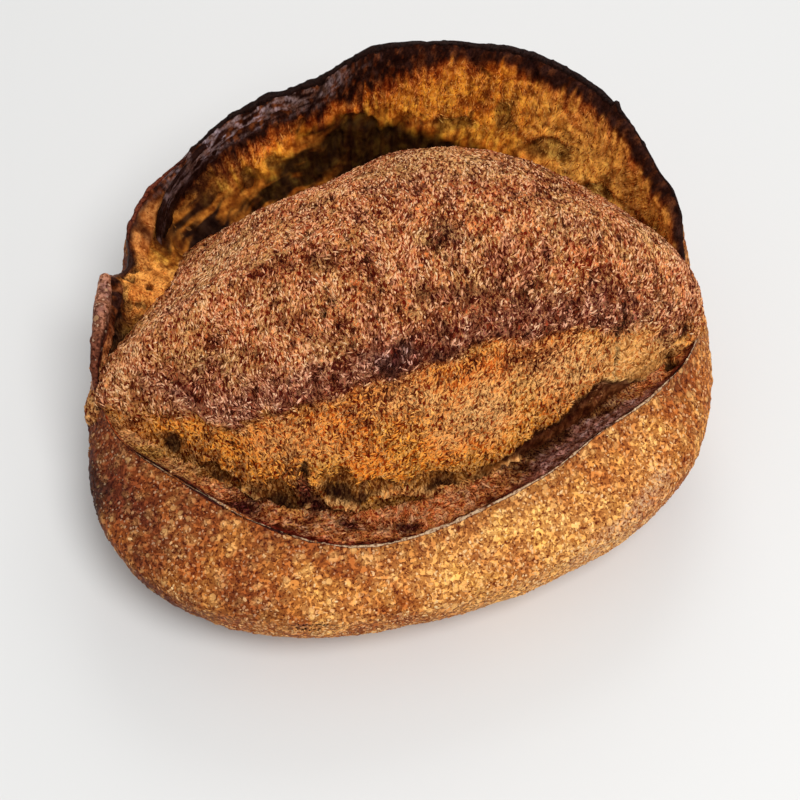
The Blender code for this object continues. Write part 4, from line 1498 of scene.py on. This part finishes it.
# %% Torn crumb skin
def torn_skin(name, stroke_mm, bend_mm, pale_hex, gap_hex, palest, gap_share, bump_mm):
    """Dry torn crumb: painted tint, pale strokes that curl round dark gaps, and gloss where it is charred."""
    skin, shader = new_material(name)
    place = add(skin, "TexCoord", {}).outputs["Object"]
    tint, char, fuzz = painted(skin, "tint", "Color"), painted(skin, "char"), painted(skin, "fuzz")
    bent = curled(skin, place, bend_mm, bend_mm)
    scale = tuple(1 / (size * MM) for size in stroke_mm)
    stretched = add(skin, "Mapping", {"Vector": bent, "Scale": scale}).outputs["Vector"]
    web = noise(skin, stretched, 1.0, 3.0, 0.6)
    line = ramped(skin, web, ((0.49, (0, 0, 0)), (0.53, (1, 1, 1)), (0.56, (1, 1, 1)), (0.61, (0, 0, 0))))
    gap = ranged(skin, web, 0.51, 0.41, 0, gap_share)
    clumps = noise(skin, place, 4 * MM, 3.0, 0.6)
    gain = ramped(skin, clumps, ((0.38, (0.58, 0.44, 0.33)), (0.62, (1.32, 1.40, 1.46))))
    mottled = vectors(skin, "MULTIPLY", tint, gain)
    shaded = darkened(skin, maths(skin, "MULTIPLY", gap, fuzz), mottled, gap_hex)
    # The pale lines fade where the crumb is burnt, in the dark patches, where it is smooth and where it is dark.
    pale = maths(skin, "MULTIPLY", line, ranged(skin, char, 0, 1, palest, 0.06))
    pale = maths(skin, "MULTIPLY", pale, ranged(skin, clumps, 0.38, 0.62, 0.35))
    pale = maths(skin, "MULTIPLY", pale, fuzz)
    brightness = add(skin, "SeparateColor", {0: mottled}).outputs[0]
    pale = maths(skin, "MULTIPLY", pale, ranged(skin, brightness, 0, 0.55))
    relief = maths(skin, "SUBTRACT", line, gap)
    bump = add(skin, "Bump", {"Strength": fuzz, "Distance": bump_mm * MM, "Height": relief})
    plug(skin, shader, {
        "Base Color": mixed(skin, pale, shaded, rgba(pale_hex)),
        "Roughness": ranged(skin, char, 0, 1, 0.75, 0.40),
        "Normal": bump.outputs["Normal"],
    } | DULL)
    return skin


torn_crumb = torn_skin("torn_crumb", (0.8, 0.8, 2.8), 2.2, "#ffbc60", "#6a2606", 0.75, 0.95, 0.4)
bloom_skin = torn_skin("bloom_skin", (0.85, 2.0, 1.8), 1.9, "#ffc27c", "#6a2c10", 0.85, 1.0, 0.5)
print("torn skins:", torn_crumb.name, "and", bloom_skin.name)

# %% [markdown]
# The crust is dough skin whose starch and sugar browned. Gas lifted it into countless small blisters, which
# stay golden while the skin between them darkens. Two sizes of cells give the blisters, bent so that they aren't
# round, and a fine noise gives the grain. Flour lies in the streaks as dust.

# %% Crust skin
# Blisters: how far apart in millimetres, the share of cells that hold none, their colour and strength.
BLISTER_KINDS = ((3.0, 0.62, "#f8d488", 0.7), (1.25, 0.6, "#ffeac0", 0.8))

skin, shader = new_material("baked_crust")
baked_crust = skin
place = add(skin, "TexCoord", {}).outputs["Object"]
tint, char, flour = painted(skin, "tint", "Color"), painted(skin, "char"), painted(skin, "flour")
bent = add(skin, "Mapping", {"Vector": curled(skin, place, 1.6, 1.5), "Scale": (1, 1, 0.62)}).outputs["Vector"]
unburnt = ranged(skin, char, 0, 1, 1, 0)
grain = noise(skin, place, 1.1 * MM, 4.0, 0.65)
colour = darkened(skin, ranged(skin, grain, 0.54, 0.38), tint, "#84481c")
lighter = vectors(skin, "MULTIPLY", tint, (1.9, 2.15, 2.5))
top = ranged(skin, noise(skin, bent, 1.5 * MM, 2.0, 0.45), 0.52, 0.58)
height = maths(skin, "ADD", top, grain)
shown = maths(skin, "MULTIPLY", maths(skin, "MULTIPLY", top, unburnt), 0.9)
colour = mixed(skin, shown, colour, lighter)
for spacing, none, blister_hex, strength in BLISTER_KINDS:
    blisters = add(skin, "TexVoronoi", {"Vector": bent, "Scale": 1 / (spacing * MM)})
    own = add(skin, "SeparateColor", {0: blisters.outputs["Color"]}).outputs[0]
    size = ranged(skin, own, none, 1, 0, 0.5)
    top = ranged(skin, blisters.outputs["Distance"], size, maths(skin, "SUBTRACT", size, 0.09))
    height = maths(skin, "ADD", top, height)
    shown = maths(skin, "MULTIPLY", maths(skin, "MULTIPLY", top, unburnt), strength)
    colour = mixed(skin, shown, colour, mixed(skin, 0.25, lighter, rgba(blister_hex)))
dust = maths(skin, "MULTIPLY", ranged(skin, grain, 0.44, 0.60, 0, 0.7), flour, use_clamp=True)
bump = add(skin, "Bump", {"Strength": 0.8, "Distance": 0.35 * MM, "Height": height})
plug(skin, shader, {
    "Base Color": mixed(skin, dust, colour, rgba("#ecd9b8")),
    "Roughness": ranged(skin, char, 0, 1, 0.62, 0.52),
    "Normal": bump.outputs["Normal"],
    "IOR": 1.45,
    "Specular IOR Level": 0.1,
})

print("baked crust:", len(skin.node_tree.nodes), "nodes")

# %% [markdown]
# The flecks, the strokes and the fibres are dry bran and dry skin. One dull material serves them all, because
# each carries its own tint; a mottle finer than a millimetre keeps them from looking like plastic.

# %% Dry bran
dry_bran, shader = new_material("dry_bran")
place = add(dry_bran, "TexCoord", {}).outputs["Object"]
mottle = ranged(dry_bran, noise(dry_bran, place, 0.6 * MM), 0.55, 0.35, 0, 0.35)
colour = darkened(dry_bran, mottle, painted(dry_bran, "tint", "Color"), "#a06838")
plug(dry_bran, shader, {"Base Color": colour, "Roughness": 0.7} | DULL)

print("dry bran:", len(dry_bran.node_tree.nodes), "nodes")

# %% [markdown]
# Each mesh becomes a piece: it gets its material, rides on the loaf's only body and stands for the solid, which
# is hidden.

# %% Pieces
def finished(mesh, material):
    """Makes the piece, in the loaf's only body, standing for the solid."""
    mesh.materials.clear()
    mesh.materials.append(material)
    piece = placed(mesh.name, mesh)
    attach(piece, "root")
    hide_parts("loaf")
    mesh.calc_loop_triangles()
    print(mesh.name, "has", len(mesh.loop_triangles), "triangles")


for mesh, material in (
    (crust_mesh, baked_crust), (crumb_mesh, torn_crumb), (ear_end_mesh, torn_crumb), (bloom_mesh, bloom_skin),
    (bran_mesh, dry_bran), (stroke_mesh, dry_bran), (fibre_mesh, dry_bran),
):
    finished(mesh, material)
